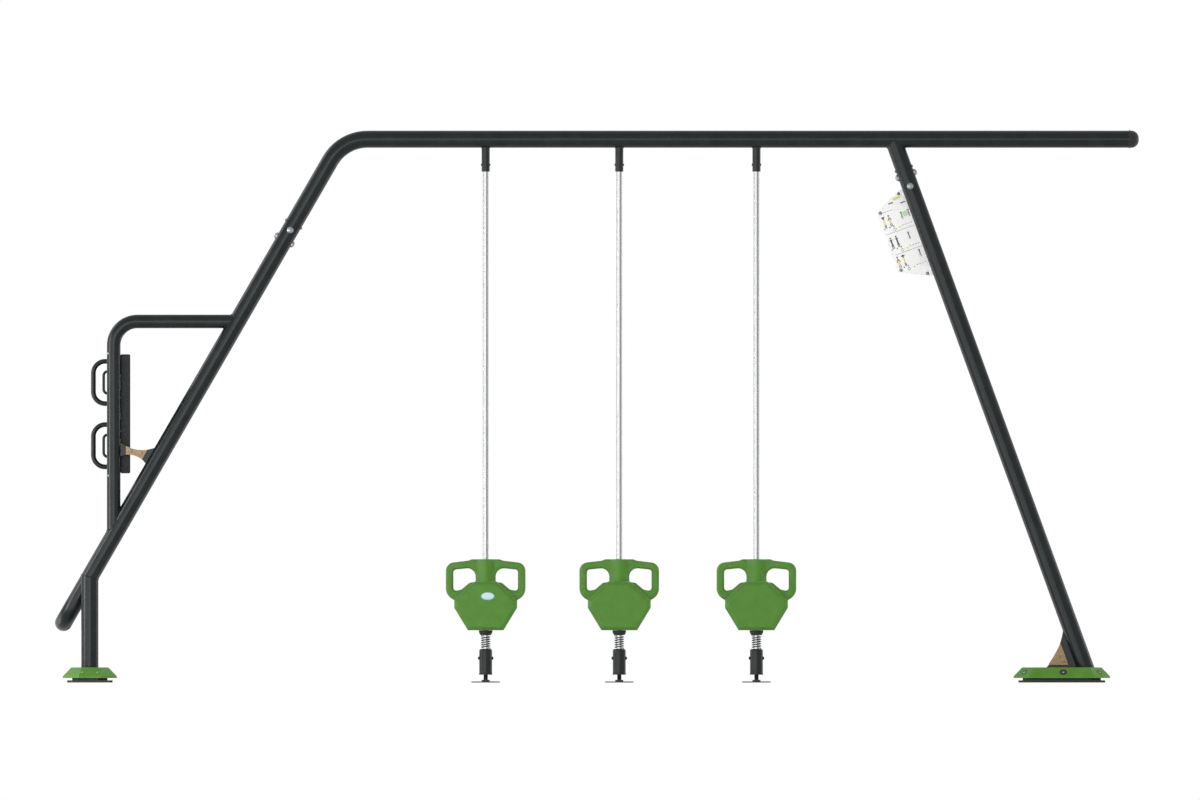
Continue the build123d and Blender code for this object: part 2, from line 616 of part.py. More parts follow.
def post_bolt_places():
    """Flange bolts of a post, one on each side."""
    reach = FLANGE_WIDTH / 2 - FLANGE_BOLT_EDGE
    return [(reach, 0), (-reach, 0), (0, reach), (0, -reach)]


def leg_bolt_places():
    """Flange bolts of the right leg, near the four corners."""
    along = LEG_FLANGE_LENGTH / 2 - FLANGE_BOLT_CORNER_EDGE
    across = FLANGE_WIDTH / 2 - FLANGE_BOLT_EDGE
    return [(i * along, j * across) for i in (-1, 1) for j in (-1, 1)]


def base_flange(x, y, length, places):
    """Flange welded under a post or leg, with its bolt holes."""
    plate = cut_corner_plate(x, y, ANCHOR_PLATE_THICKNESS, length, FLANGE_WIDTH, FLANGE_CORNER, FLANGE_THICKNESS)
    radius = FLANGE_BOLT_DIAMETER / 2 + FLANGE_BOLT_CLEARANCE
    holes = [round_bar((x + i, y + j, 0), (x + i, y + j, FLANGE_TOP), radius) for i, j in places]
    return plate - holes


def anchor_plate(x, y, length, places):
    """Ground plate with anchor holes at its corners and holes for the flange bolts."""
    plate = cut_corner_plate(x, y, 0, length, PLATE_WIDTH, PLATE_CORNER, ANCHOR_PLATE_THICKNESS)
    along = length / 2 - ANCHOR_HOLE_EDGE
    across = PLATE_WIDTH / 2 - ANCHOR_HOLE_EDGE
    anchors = [(i * along, j * across) for i in (-1, 1) for j in (-1, 1)]
    sizes = [(ANCHOR_HOLE_DIAMETER / 2, anchors), (FLANGE_BOLT_DIAMETER / 2 + FLANGE_BOLT_CLEARANCE, places)]
    for radius, spots in sizes:
        plate -= [round_bar((x + i, y + j, 0), (x + i, y + j, FLANGE_TOP), radius) for i, j in spots]
    return plate


def flange_bolts(x, y, places):
    """Hexagon bolts through a flange and its ground plate."""
    bolts = []
    for i, j in places:
        end = (x + i, y + j, FLANGE_BOLT_END_GAP)
        shank = round_bar(end, (x + i, y + j, FLANGE_TOP), FLANGE_BOLT_DIAMETER / 2)
        head = extrude(RegularPolygon(FLANGE_HEAD_SIZE / 2, 6, major_radius=False), amount=FLANGE_HEAD_HEIGHT)
        bolts.append(shank + Pos(x + i, y + j, FLANGE_TOP) * head)
    return bolts


def cover_block(length, width, corner, inset, rim, height):
    """Eight-sided block with an upright rim and sloping sides."""
    top_corner = corner - inset * (2 - math.sqrt(2))
    low = chamfer(Rectangle(length, width).vertices(), corner)
    high = chamfer(Rectangle(length - 2 * inset, width - 2 * inset).vertices(), top_corner)
    sides = loft([Pos(0, 0, rim) * low, Pos(0, 0, height) * high], ruled=True)
    return extrude(low, amount=rim) + sides


def base_cover(x, y, length):
    """Hollow plastic cover over a base flange, open below."""
    trim = COVER_WALL * (2 - math.sqrt(2))
    outer = cover_block(length, COVER_WIDTH, COVER_CORNER, COVER_INSET, COVER_RIM, COVER_HEIGHT)
    inner = cover_block(length - 2 * COVER_WALL, COVER_WIDTH - 2 * COVER_WALL, COVER_CORNER - trim,
                        COVER_INSET, COVER_RIM, COVER_HEIGHT - COVER_WALL)
    levels = outer.edges().filter_by_position(Axis.Z, COVER_RIM, COVER_HEIGHT)
    rims = levels.filter_by(lambda edge: edge.bounding_box().size.Z < COVER_RIM)
    return Pos(x, y, FLANGE_TOP) * (fillet(rims, COVER_ROUNDING) - inner)


def post_cover(y):
    """Base cover of a post, with a round opening for the tube."""
    opening = round_bar((0, y, 0), (0, y, MITRE_HEIGHT), MAIN_RADIUS + COVER_OPENING_GAP)
    return base_cover(0, y, COVER_WIDTH) - opening


def leg_cover():
    """Base cover of the right leg, with openings for the leg and its gusset."""
    cover = base_cover(LEG_BASE_X, FRONT_Y, COVER_LENGTH) - leg_core(MAIN_RADIUS + COVER_OPENING_GAP)
    reach = leg_edge(FLANGE_TOP) - LEG_GUSSET_REACH
    length = LEG_FOOT_X - reach
    slot = Box(length, GUSSET_THICKNESS + 2 * COVER_OPENING_GAP, LEG_INLAY_BOTTOM * 2)
    return cover - Pos(reach + length / 2, FRONT_Y, 0) * slot


def hanger_sleeve(x):
    """Sleeve welded under the top bar that holds the head of a guide rod."""
    sleeve = round_bar((x, FRONT_Y, SLEEVE_BOTTOM), (x, FRONT_Y, BAR_HEIGHT), SLEEVE_DIAMETER / 2)
    bore = round_bar((x, FRONT_Y, SLEEVE_BOTTOM), (x, FRONT_Y, ROD_TOP), ROD_DIAMETER / 2 + ROD_SEAT_CLEARANCE)
    return sleeve - bore - bar_core()


def guide_rod(x):
    """Round rod that guides a weight."""
    return round_bar((x, FRONT_Y, ROD_BOTTOM), (x, FRONT_Y, ROD_TOP), ROD_DIAMETER / 2)


def socket(x):
    """Round-shouldered socket that holds the foot of a guide rod."""
    body = round_bar((x, FRONT_Y, SOCKET_BOTTOM), (x, FRONT_Y, SOCKET_TOP), SOCKET_DIAMETER / 2)
    body = fillet(body.edges().sort_by(Axis.Z)[-1], SOCKET_SHOULDER)
    rod_radius = ROD_DIAMETER / 2 + ROD_SEAT_CLEARANCE
    stud_radius = STUD_DIAMETER / 2 + ROD_SEAT_CLEARANCE
    body -= round_bar((x, FRONT_Y, ROD_BOTTOM), (x, FRONT_Y, SOCKET_TOP), rod_radius)
    return body - round_bar((x, FRONT_Y, SOCKET_BOTTOM), (x, FRONT_Y, STUD_TOP), stud_radius)


def rod_foot(x):
    """Foot plate with a nut and the levelling stud that carries a socket."""
    base = (x, FRONT_Y, 0)
    foot = round_bar(base, (x, FRONT_Y, FOOT_PLATE_THICKNESS), FOOT_PLATE_DIAMETER / 2)
    nut = RegularPolygon(FOOT_NUT_SIZE / 2, 6, major_radius=False)
    foot += Pos(*base) * extrude(nut, amount=FOOT_NUT_TOP)
    foot += round_bar(base, (x, FRONT_Y, STUD_TOP), STUD_DIAMETER / 2)
    hole = Cylinder(FOOT_HOLE_DIAMETER / 2, FOOT_PLATE_THICKNESS * 4)
    return foot - Pos(*base) * PolarLocations(FOOT_HOLE_CIRCLE / 2, FOOT_HOLES, start_angle=45) * hole


def helix_biarc(start, end, start_way, end_way):
    """Two tangent arcs from one point of a helix to the next."""
    chord = end - start
    ways = start_way + end_way
    spread = 2 * (1 - start_way.dot(end_way))
    lean = chord.dot(ways)
    reach = (math.sqrt(lean**2 + spread * chord.dot(chord)) - lean) / spread
    middle = (start + end + (start_way - end_way) * reach) * 0.5
    middle_way = end - end_way * reach - start - start_way * reach
    return [TangentArc(start, middle, tangent=start_way), TangentArc(middle, end, tangent=middle_way)]


def spring_path(x):
    """Spring wire from the socket up to the buffer, with straight ends one wire thick."""
    radius = (SPRING_DIAMETER - SPRING_WIRE) / 2
    margin = SPRING_WIRE / 2 + SPRING_SEAT_GAP
    height = BUFFER_BOTTOM - SOCKET_TOP - 2 * margin
    turn_length = math.pi * radius * SPRING_HALF_TURNS
    rise = height / (turn_length + 2 * SPRING_WIRE)
    points = []
    ways = []
    for step in range(SPRING_HALF_TURNS + 1):
        angle = math.pi * step
        level = SOCKET_TOP + margin + rise * (SPRING_WIRE + math.pi * radius * step)
        points.append(Vector(x + radius * math.cos(angle), FRONT_Y + radius * math.sin(angle), level))
        ways.append(Vector(-math.sin(angle), math.cos(angle), rise).normalized())
    edges = [Line(points[0] - ways[0] * SPRING_WIRE, points[0])]
    for step in range(SPRING_HALF_TURNS):
        edges += helix_biarc(points[step], points[step + 1], ways[step], ways[step + 1])
    edges.append(Line(points[-1], points[-1] + ways[-1] * SPRING_WIRE))
    return Wire([e.edge() for e in edges])


def spring(x):
    """Buffer spring round the guide rod."""
    path = spring_path(x)
    return sweep(Plane(origin=path @ 0, z_dir=path % 0) * Circle(SPRING_WIRE / 2), path=path)


def spring_gap():
    """Least gap between neighbouring turns, measured on points along the wire."""
    path = spring_path(0)
    count = 40 * SPRING_HALF_TURNS
    points = [path @ (i / count) for i in range(count + 1)]
    apart = 40
    pairs = [(points[i] - points[j]).length for i in range(count + 1) for j in range(i + apart, count + 1)]
    return min(pairs) - SPRING_WIRE


def buffer(x):
    """Bowl-shaped rubber buffer between the spring and the weight."""
    top = WEIGHT_BOTTOM - WEIGHT_GAP
    bore = ROD_DIAMETER / 2 + BUFFER_BORE_CLEARANCE
    lip = (BUFFER_TOP_DIAMETER / 2, top - BUFFER_LIP)
    foot = (BUFFER_BOTTOM_DIAMETER / 2, BUFFER_BOTTOM)
    outline = Polyline(foot, (bore, BUFFER_BOTTOM), (bore, top), (BUFFER_TOP_DIAMETER / 2, top), lip)
    bowl = TangentArc(lip, foot, tangent=(0, -1))
    return Pos(x, FRONT_Y, 0) * revolve(Plane.XZ * make_face(outline.edges() + bowl.edges()), axis=Axis.Z)


def mirrored_outline(half):
    """Points of a half outline followed by their mirror images."""
    return half + [(-x, z) for x, z in reversed(half)]


def weight_body():
    """Six-sided weight block with bevelled faces."""
    half = [(BODY_BOTTOM_HALF, 0), (BODY_SIDE_HALF, BODY_SIDE_LOW), (BODY_SIDE_HALF, BODY_SIDE_HIGH),
            (BODY_SHOULDER_HALF, BODY_SHOULDER)]
    face = make_face(Polyline(*mirrored_outline(half), close=True))
    block = upright_plate(face, 0, BODY_DEPTH)
    rims = block.faces().filter_by(Axis.Y).edges()
    return chamfer(rims, BODY_BEVEL)


def handle_hole(side):
    """Outline of the hand hole on one side of a weight."""
    outer = WEIGHT_HALF_WIDTH - HANDLE_BAR_WIDTH
    corners = [(outer, HOLE_TOP), (HOLE_INNER_HALF, HOLE_CREST), (HOLE_INNER_HALF, HOLE_INNER_FLOOR),
               (HOLE_STEP_HALF, HOLE_STEP), (HOLE_RAMP_HALF, HOLE_RAMP), (outer, HOLE_FLOOR)]
    radii = [HOLE_CORNER_RADIUS, HOLE_CREST_RADIUS, HOLE_CORNER_RADIUS / 2, HOLE_RAMP_RADIUS, HOLE_RAMP_RADIUS,
             HOLE_CORNER_RADIUS]
    return make_face(FilletPolyline(*[(side * x, z) for x, z in corners], radius=radii, close=True))


def weight_handles():
    """Rounded hoop with a hand hole on each side."""
    half = [(HANDLE_ROOT_HALF, HANDLE_ROOT), (WEIGHT_HALF_WIDTH, HANDLE_HEEL), (WEIGHT_HALF_WIDTH, HANDLE_SHOULDER),
            (HANDLE_CREST_HALF + HANDLE_CREST_RUN, WEIGHT_HEIGHT - HANDLE_CREST_DROP),
            (HANDLE_CREST_HALF, WEIGHT_HEIGHT)]
    radii = [0, HANDLE_HEEL_RADIUS, HANDLE_CORNER_RADIUS, HANDLE_CREST_RUN, HANDLE_CREST_RUN]
    outline = FilletPolyline(*mirrored_outline(half), radius=radii + radii[::-1], close=True)
    face = make_face(outline) - handle_hole(1) - handle_hole(-1)
    hoop = upright_plate(face, 0, HANDLE_DEPTH)
    return fillet(hoop.faces().filter_by(Axis.Y).edges(), HANDLE_ROUNDING)


def weight_casing(x):
    """Two-handled weight that turns on its sliding carriage."""
    neck = round_bar((0, 0, BODY_SIDE_HIGH), (0, 0, WEIGHT_HEIGHT), NECK_DIAMETER / 2)
    neck = fillet(neck.edges().sort_by(Axis.Z)[-1], NECK_ROUNDING)
    casing = weight_body() + weight_handles() + neck
    recess = CARRIAGE_FLANGE_THICKNESS + CARRIAGE_FLANGE_GAP
    recess_radius = CARRIAGE_FLANGE_DIAMETER / 2 + CARRIAGE_FLANGE_GAP
    casing -= round_bar((0, 0, 0), (0, 0, WEIGHT_HEIGHT), CARRIAGE_DIAMETER / 2 + CARRIAGE_CLEARANCE)
    casing -= round_bar((0, 0, 0), (0, 0, recess), recess_radius)
    casing -= round_bar((0, 0, WEIGHT_HEIGHT - recess), (0, 0, WEIGHT_HEIGHT), recess_radius)
    return Pos(x, FRONT_Y, WEIGHT_BOTTOM) * casing


def carriage(x):
    """Flanged guide bush that slides on the rod and carries the weight."""
    base, top = (x, FRONT_Y, WEIGHT_BOTTOM), (x, FRONT_Y, WEIGHT_TOP)
    bush = round_bar(base, top, CARRIAGE_DIAMETER / 2)
    rim = CARRIAGE_FLANGE_DIAMETER / 2
    bush += round_bar(base, (x, FRONT_Y, WEIGHT_BOTTOM + CARRIAGE_FLANGE_THICKNESS), rim)
    bush += round_bar((x, FRONT_Y, WEIGHT_TOP - CARRIAGE_FLANGE_THICKNESS), top, rim)
    return bush - round_bar(base, top, ROD_DIAMETER / 2 + CARRIAGE_CLEARANCE)


def sign_plane(y):
    """Plane along the right leg: out to the left first, then down the leg."""
    return Plane(origin=(RIGHT_LEG_TOP_X, y, BAR_HEIGHT), x_dir=LEG_OUT, z_dir=(0, -1, 0))


def info_board():
    """Information board beside the right leg, slanted above and below."""
    top, low = SIGN_OUTER_TOP, SIGN_OUTER_TOP + SIGN_OUTER_LENGTH
    inner = SIGN_OUTER_REACH - SIGN_SLANT_REACH
    outline = Polyline((SIGN_OUTER_REACH, top), (SIGN_OUTER_REACH, low), (inner, low + SIGN_SLANT_RISE),
                       (-SIGN_BACK_REACH, low + SIGN_SLANT_RISE), (-SIGN_BACK_REACH, top - SIGN_SLANT_RISE),
                       (inner, top - SIGN_SLANT_RISE), close=True)
    return extrude(sign_plane(SIGN_FACE + SIGN_THICKNESS) * make_face(outline), amount=SIGN_THICKNESS)


def info_board_tabs():
    """Tabs welded to the back of the right leg that carry the information board."""
    first = SIGN_OUTER_TOP - SIGN_SLANT_RISE + SIGN_TAB_INSET
    last = SIGN_OUTER_TOP + SIGN_OUTER_LENGTH + SIGN_SLANT_RISE - SIGN_TAB_INSET
    spots = [Pos(0, along) * Rectangle(SIGN_TAB_WIDTH, SIGN_TAB_LENGTH) for along in (first, last)]
    return [extrude(sign_plane(SIGN_FACE) * spot, amount=SIGN_STANDOFF) - leg_core(MAIN_RADIUS) for spot in spots]


def station():
    """Every piece of the station by name, each as one solid or as a list of solids."""
    pieces = {
        "top_bar": top_bar(),
        "top_bar_cap": top_bar_cap(),
        "left_spigot": spigot(LEFT_RING, SLOPE_DOWN, LEFT_BOLTS),
        "left_leg": left_leg(),
        "front_post": front_post(),
        "leg_stub": leg_stub(),
        "right_spigot": spigot(RIGHT_RING, LEG_DOWN, RIGHT_BOLTS),
        "right_leg": right_leg(),
        "joint_bolts": [joint_bolt(centre, direction, SLOPE_DOWN) for centre, direction in LEFT_BOLTS]
        + [joint_bolt(centre, direction, LEG_DOWN) for centre, direction in RIGHT_BOLTS],
        "front_grip_frame": grip_frame(FRONT_Y),
        "rear_grip_frame": grip_frame(REAR_Y),
        "foot_bar": foot_bar(),
        "arm_saddles": arm_saddles(),
        "cross_tube": cross_tube(),
        "rear_post": rear_post(),
        "grip_board": grip_board(),
        "board_saddles": board_saddles(),
        "board_bolts": board_bolts(),
        "upper_band_loop": band_loop(UPPER_GRIP_HEIGHT),
        "lower_band_loop": band_loop(LOWER_GRIP_HEIGHT),
        "grip_gussets": [grip_gusset(y) for y in (FRONT_Y, REAR_Y)],
        "grip_gusset_inlays": grip_gusset_inlays(FRONT_Y) + grip_gusset_inlays(REAR_Y),
        "leg_gusset": right_gusset(),
        "leg_gusset_inlays": right_gusset_inlays(),
        "leg_flange": base_flange(LEG_BASE_X, FRONT_Y, LEG_FLANGE_LENGTH, leg_bolt_places()),
        "leg_anchor_plate": anchor_plate(LEG_BASE_X, FRONT_Y, LEG_PLATE_LENGTH, leg_bolt_places()),
        "leg_cover": leg_cover(),
        "flange_bolts": flange_bolts(LEG_BASE_X, FRONT_Y, leg_bolt_places())
        + flange_bolts(0, FRONT_Y, post_bolt_places())
        + flange_bolts(0, REAR_Y, post_bolt_places()),
        "info_board": info_board(),
        "info_board_tabs": info_board_tabs(),
        "hanger_sleeves": [hanger_sleeve(x) for x in RODS],
        "rod_feet": [rod_foot(x) for x in RODS],
    }
    for name, y in (("front", FRONT_Y), ("rear", REAR_Y)):
        pieces[name + "_anchor_plate"] = anchor_plate(0, y, PLATE_WIDTH, post_bolt_places())
        pieces[name + "_cover"] = post_cover(y)
    pieces["post_flanges"] = [base_flange(0, y, FLANGE_WIDTH, post_bolt_places()) for y in (FRONT_Y, REAR_Y)]
    for level, height in (("upper", UPPER_GRIP_HEIGHT), ("lower", LOWER_GRIP_HEIGHT)):
        for side, y in (("front", -GRIP_SPREAD / 2), ("rear", GRIP_SPREAD / 2)):
            pieces[f"{level}_{side}_grip"] = grip(y, height)
    for number, x in enumerate(RODS, start=1):
        pieces[f"guide_rod_{number}"] = guide_rod(x)
        pieces[f"socket_{number}"] = socket(x)
        pieces[f"spring_{number}"] = spring(x)
        pieces[f"buffer_{number}"] = buffer(x)
        pieces[f"carriage_{number}"] = carriage(x)
        pieces[f"weight_casing_{number}"] = weight_casing(x)
    return pieces


def write(pieces):
    """Moves every piece to the middle of the station and writes one file each."""
    os.makedirs("parts", exist_ok=True)
    for name, shapes in pieces.items():
        solids = [s for shape in (shapes if isinstance(shapes, list) else [shapes]) for s in shape.solids()]
        placed = [Pos(-CENTRE_X, 0, 0) * s for s in solids]
        export_step(placed[0] if len(placed) == 1 else Compound(children=placed), f"parts/{name}.step")


write(station())
print(f"least gap between spring turns {spring_gap():.2f} mm")
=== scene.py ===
"""Outdoor fitness station: finishes, fasteners, welds and printed board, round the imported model."""

import math

import bmesh
import bpy
from mathutils import Matrix, Vector


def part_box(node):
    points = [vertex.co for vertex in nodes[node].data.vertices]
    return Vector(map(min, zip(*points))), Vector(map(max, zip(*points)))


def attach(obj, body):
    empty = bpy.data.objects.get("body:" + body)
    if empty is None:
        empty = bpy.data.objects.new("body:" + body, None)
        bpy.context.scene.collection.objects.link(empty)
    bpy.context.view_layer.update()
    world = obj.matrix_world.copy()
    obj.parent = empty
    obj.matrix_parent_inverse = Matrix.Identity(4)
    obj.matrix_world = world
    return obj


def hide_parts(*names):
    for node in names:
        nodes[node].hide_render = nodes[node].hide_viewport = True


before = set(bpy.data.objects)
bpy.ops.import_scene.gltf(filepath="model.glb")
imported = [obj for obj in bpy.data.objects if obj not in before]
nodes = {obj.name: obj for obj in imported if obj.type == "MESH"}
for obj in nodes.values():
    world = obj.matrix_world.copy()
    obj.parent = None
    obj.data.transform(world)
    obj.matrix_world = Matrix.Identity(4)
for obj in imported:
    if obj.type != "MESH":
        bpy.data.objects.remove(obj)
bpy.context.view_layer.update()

MM = 0.001
PHOTO_WIDTH = 1200
PHOTO_HEIGHT = 800
MM_PER_PIXEL = 4.417

# Sizes of the frame that the fasteners and welds sit on, in millimetres
TUBE_RADIUS = 38.05
GRIP_TUBE_RADIUS = 30.15
SLEEVE_RADIUS = 18.0
SOCKET_RADIUS = 28.5
SLOPE_ANGLE = math.radians(30)
LEG_ANGLE = math.radians(20)
MITRE_HEIGHT = 466.0
BAR_HEIGHT = 2400.0
LEG_TOP_FROM_POST = 3548.0
GRIP_TUBE_FROM_POST = 105.4
GRIP_FRAME_HEIGHT = 1595.0
CROSS_TUBE_HEIGHT = 1690.0


def middle(node):
    """Middle of a node's box, in millimetres."""
    low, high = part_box(node)
    return (low + high) / 2 / MM


POST = middle("front_post")
POST_X = POST.x
FRONT_Y = POST.y
REAR_Y = middle("rear_post").y
RODS = [middle(f"guide_rod_{number}").x for number in (1, 2, 3)]
SLOPE_UP = Vector((math.sin(SLOPE_ANGLE), 0, math.cos(SLOPE_ANGLE)))
LEG_DOWN = Vector((math.sin(LEG_ANGLE), 0, -math.cos(LEG_ANGLE)))
LEG_OUT = Vector((-math.cos(LEG_ANGLE), 0, -math.sin(LEG_ANGLE)))
LEG_TOP = Vector((POST_X + LEG_TOP_FROM_POST, FRONT_Y, BAR_HEIGHT))
TOWARDS_VIEWER = Vector((0, -1, 0))


# Materials

def linear(colour):
    """Linear colour of an sRGB hex value."""
    shares = [int(colour[i:i + 2], 16) / 255 for i in (1, 3, 5)]
    return [s / 12.92 if s <= 0.04045 else ((s + 0.055) / 1.055) ** 2.4 for s in shares] + [1.0]


def fill(node, inputs):
    """Sets a node's inputs, each to a value or to another node's output."""
    for name, value in inputs.items():
        if isinstance(value, bpy.types.NodeSocket):
            node.id_data.links.new(value, node.inputs[name])
        else:
            node.inputs[name].default_value = value


def add(tree, kind, inputs, **settings):
    """Adds a node with its settings and its inputs."""
    node = tree.nodes.new(kind)
    for name, value in settings.items():
        setattr(node, name, value)
    fill(node, inputs)
    return node


def per_mm(size):
    """Texture scale whose features are that many millimetres across."""
    return 1 / (size * MM)


def new_material(name):
    """Empty material: its tree, its shader and its place on the object in metres."""
    material = bpy.data.materials.new(name)
    material.use_nodes = True
    tree = material.node_tree
    place = add(tree, "ShaderNodeTexCoord", {}).outputs["Object"]
    return material, tree, tree.nodes["Principled BSDF"], place


def powder_coat(name, colour, worn_colour, roughness):
    """Powder coat baked on steel: a dark satin skin with faint orange peel and dull handled patches."""
    material, tree, shader, place = new_material(name)
    patches = add(tree, "ShaderNodeTexNoise", {"Vector": place, "Scale": per_mm(60), "Detail": 4.0})
    # Real orange peel is about 1 mm across; it is drawn 4 mm across so that it shows.
    peel = add(tree, "ShaderNodeTexNoise", {"Vector": place, "Scale": per_mm(4), "Detail": 2.0})
    tint = add(tree, "ShaderNodeValToRGB", {"Fac": patches.outputs["Fac"]})
    tint.color_ramp.elements[0].position = 0.35
    tint.color_ramp.elements[0].color = linear(colour)
    tint.color_ramp.elements[1].position = 0.75
    tint.color_ramp.elements[1].color = linear(worn_colour)
    dull = add(tree, "ShaderNodeMapRange", {"Value": patches.outputs["Fac"], "To Min": roughness - 0.04,
                                            "To Max": roughness + 0.07})
    bump = add(tree, "ShaderNodeBump", {"Height": peel.outputs["Fac"], "Strength": 0.05,
                                        "Distance": 0.4 * MM})
    fill(shader, {"Base Color": tint.outputs["Color"], "Roughness": dull.outputs["Result"],
                  "Normal": bump.outputs["Normal"], "IOR": 1.28})
    return material


def drawn_steel(name, colour, roughness, stretch):
    """Drawn and brushed steel: fine lines along the bar that break up the gloss."""
    material, tree, shader, place = new_material(name)
    along = add(tree, "ShaderNodeMapping", {"Vector": place, "Scale": stretch})
    # Brush lines are about 0.2 mm apart; they are drawn 1.5 mm apart so that they show.
    lines = add(tree, "ShaderNodeTexNoise", {"Vector": along.outputs["Vector"], "Scale": per_mm(1.5),
                                             "Detail": 3.0})
    tint = add(tree, "ShaderNodeValToRGB", {"Fac": lines.outputs["Fac"]})
    tint.color_ramp.elements[0].position = 0.3
    tint.color_ramp.elements[0].color = linear(colour[0])
    tint.color_ramp.elements[1].position = 0.7
    tint.color_ramp.elements[1].color = linear(colour[1])
    dull = add(tree, "ShaderNodeMapRange", {"Value": lines.outputs["Fac"], "To Min": roughness - 0.06,
                                            "To Max": roughness + 0.1})
    bump = add(tree, "ShaderNodeBump", {"Height": lines.outputs["Fac"], "Strength": 0.04,
                                        "Distance": 0.2 * MM})
    fill(shader, {"Base Color": tint.outputs["Color"], "Metallic": 1.0, "Roughness": dull.outputs["Result"],
                  "Normal": bump.outputs["Normal"]})
    return material


def moulded(name, colours, roughness, grain, ior, **extra):
    """Moulded plastic or rubber: mould grain, cloudy pigment and scuffs where hands and feet reach.

    Extra values, such as the pale sheen that rubber and plastic get at a flat angle, go to the shader.
    """
    material, tree, shader, place = new_material(name)
    clouds = add(tree, "ShaderNodeTexNoise", {"Vector": place, "Scale": per_mm(45), "Detail": 3.0})
    # The mould grain is under 1 mm; it is drawn coarser so that it shows.
    pits = add(tree, "ShaderNodeTexNoise", {"Vector": place, "Scale": per_mm(grain), "Detail": 2.0})
    scuffs = add(tree, "ShaderNodeTexVoronoi", {"Vector": place, "Scale": per_mm(18)},
                 feature="DISTANCE_TO_EDGE")
    tint = add(tree, "ShaderNodeValToRGB", {"Fac": clouds.outputs["Fac"]})
    tint.color_ramp.elements[0].position = 0.3
    tint.color_ramp.elements[0].color = linear(colours[0])
    tint.color_ramp.elements[1].position = 0.7
    tint.color_ramp.elements[1].color = linear(colours[1])
    wear = add(tree, "ShaderNodeMapRange", {"Value": scuffs.outputs["Distance"], "From Max": 0.25,
                                            "To Min": roughness + 0.1, "To Max": roughness})
    bump = add(tree, "ShaderNodeBump", {"Height": pits.outputs["Fac"], "Strength": 0.15,
                                        "Distance": 0.4 * MM})
    fill(shader, {"Base Color": tint.outputs["Color"], "Roughness": wear.outputs["Result"],
                  "Normal": bump.outputs["Normal"], "IOR": ior})
    fill(shader, extra)
    return material


def oiled_wood(name, light, dark):
    """Oiled hardwood: long growth lines, finer pores along them and a soft sheen."""
    material, tree, shader, place = new_material(name)
    along = add(tree, "ShaderNodeMapping", {"Vector": place, "Scale": (0.12, 1.0, 1.0),
                                            "Rotation": (0.0, math.radians(12), 0.0)})
    lines = add(tree, "ShaderNodeTexNoise", {"Vector": along.outputs["Vector"], "Scale": per_mm(5),
                                             "Detail": 5.0, "Distortion": 0.6})
    pores = add(tree, "ShaderNodeTexNoise", {"Vector": along.outputs["Vector"], "Scale": per_mm(1.2),
                                             "Detail": 2.0})
    tint = add(tree, "ShaderNodeValToRGB", {"Fac": lines.outputs["Fac"]})
    tint.color_ramp.elements[0].position = 0.32
    tint.color_ramp.elements[0].color = linear(dark)
    tint.color_ramp.elements[1].position = 0.68
    tint.color_ramp.elements[1].color = linear(light)
    bump = add(tree, "ShaderNodeBump", {"Height": pores.outputs["Fac"], "Strength": 0.3,
                                        "Distance": 0.3 * MM})
    sheen = add(tree, "ShaderNodeMapRange", {"Value": pores.outputs["Fac"], "To Min": 0.45, "To Max": 0.65})
    fill(shader, {"Base Color": tint.outputs["Color"], "Roughness": sheen.outputs["Result"],
                  "Normal": bump.outputs["Normal"], "IOR": 1.5})
    return material


ANTHRACITE = powder_coat("anthracite_powder_coat", "#151A1B", "#1F2425", 0.25)
BLACK_COAT = powder_coat("black_powder_coat", "#1C1E1E", "#272929", 0.3)
STAINLESS = drawn_steel("drawn_stainless_steel", ("#909193", "#9D9E9F"), 0.26, (1.0, 1.0, 0.006))
ZINC = drawn_steel("bright_zinc_plate", ("#7E8386", "#9A9FA2"), 0.4, (1.0, 1.0, 1.0))
WEATHERED_ZINC = drawn_steel("weathered_zinc_plate", ("#777B7E", "#8B9093"), 0.55, (1.0, 1.0, 1.0))
SPRING_STEEL = drawn_steel("oil_hardened_spring_steel", ("#2E3133", "#484B4D"), 0.36, (1.0, 1.0, 1.0))
GREEN_RUBBER = moulded("green_moulded_polyurethane", ("#45791F", "#4C8126"), 0.42, 3.0, 1.36,
                       **{"Sheen Weight": 0.8, "Sheen Roughness": 0.35})
GREEN_PLASTIC = moulded("green_moulded_polypropylene", ("#4A8020", "#528828"), 0.38, 2.5, 1.35,
                        **{"Sheen Weight": 0.2, "Sheen Roughness": 0.35})
PALE_NYLON = moulded("pale_green_nylon", ("#7A9A64", "#86A570"), 0.45, 2.0, 1.42)
# This dark green is painted shade: it stands for the shadow in the recesses round the leg cover's screws.
RECESS_SHADE_GREEN_NYLON = moulded("dark_green_nylon_painted_recess_shade", ("#33521F", "#3B5B26"), 0.5, 2.0, 1.42)
BLACK_RUBBER = moulded("black_rubber", ("#151616", "#1E1F1F"), 0.6, 2.0, 1.4)
BLACK_NYLON = moulded("black_nylon", ("#131414", "#1A1B1B"), 0.45, 2.0, 1.4)
DARK_BOARD = moulded("dark_polyethylene_board", ("#181B1B", "#202323"), 0.5, 2.5, 1.3)
WOOD = oiled_wood("oiled_hardwood", "#AE9068", "#90724B")
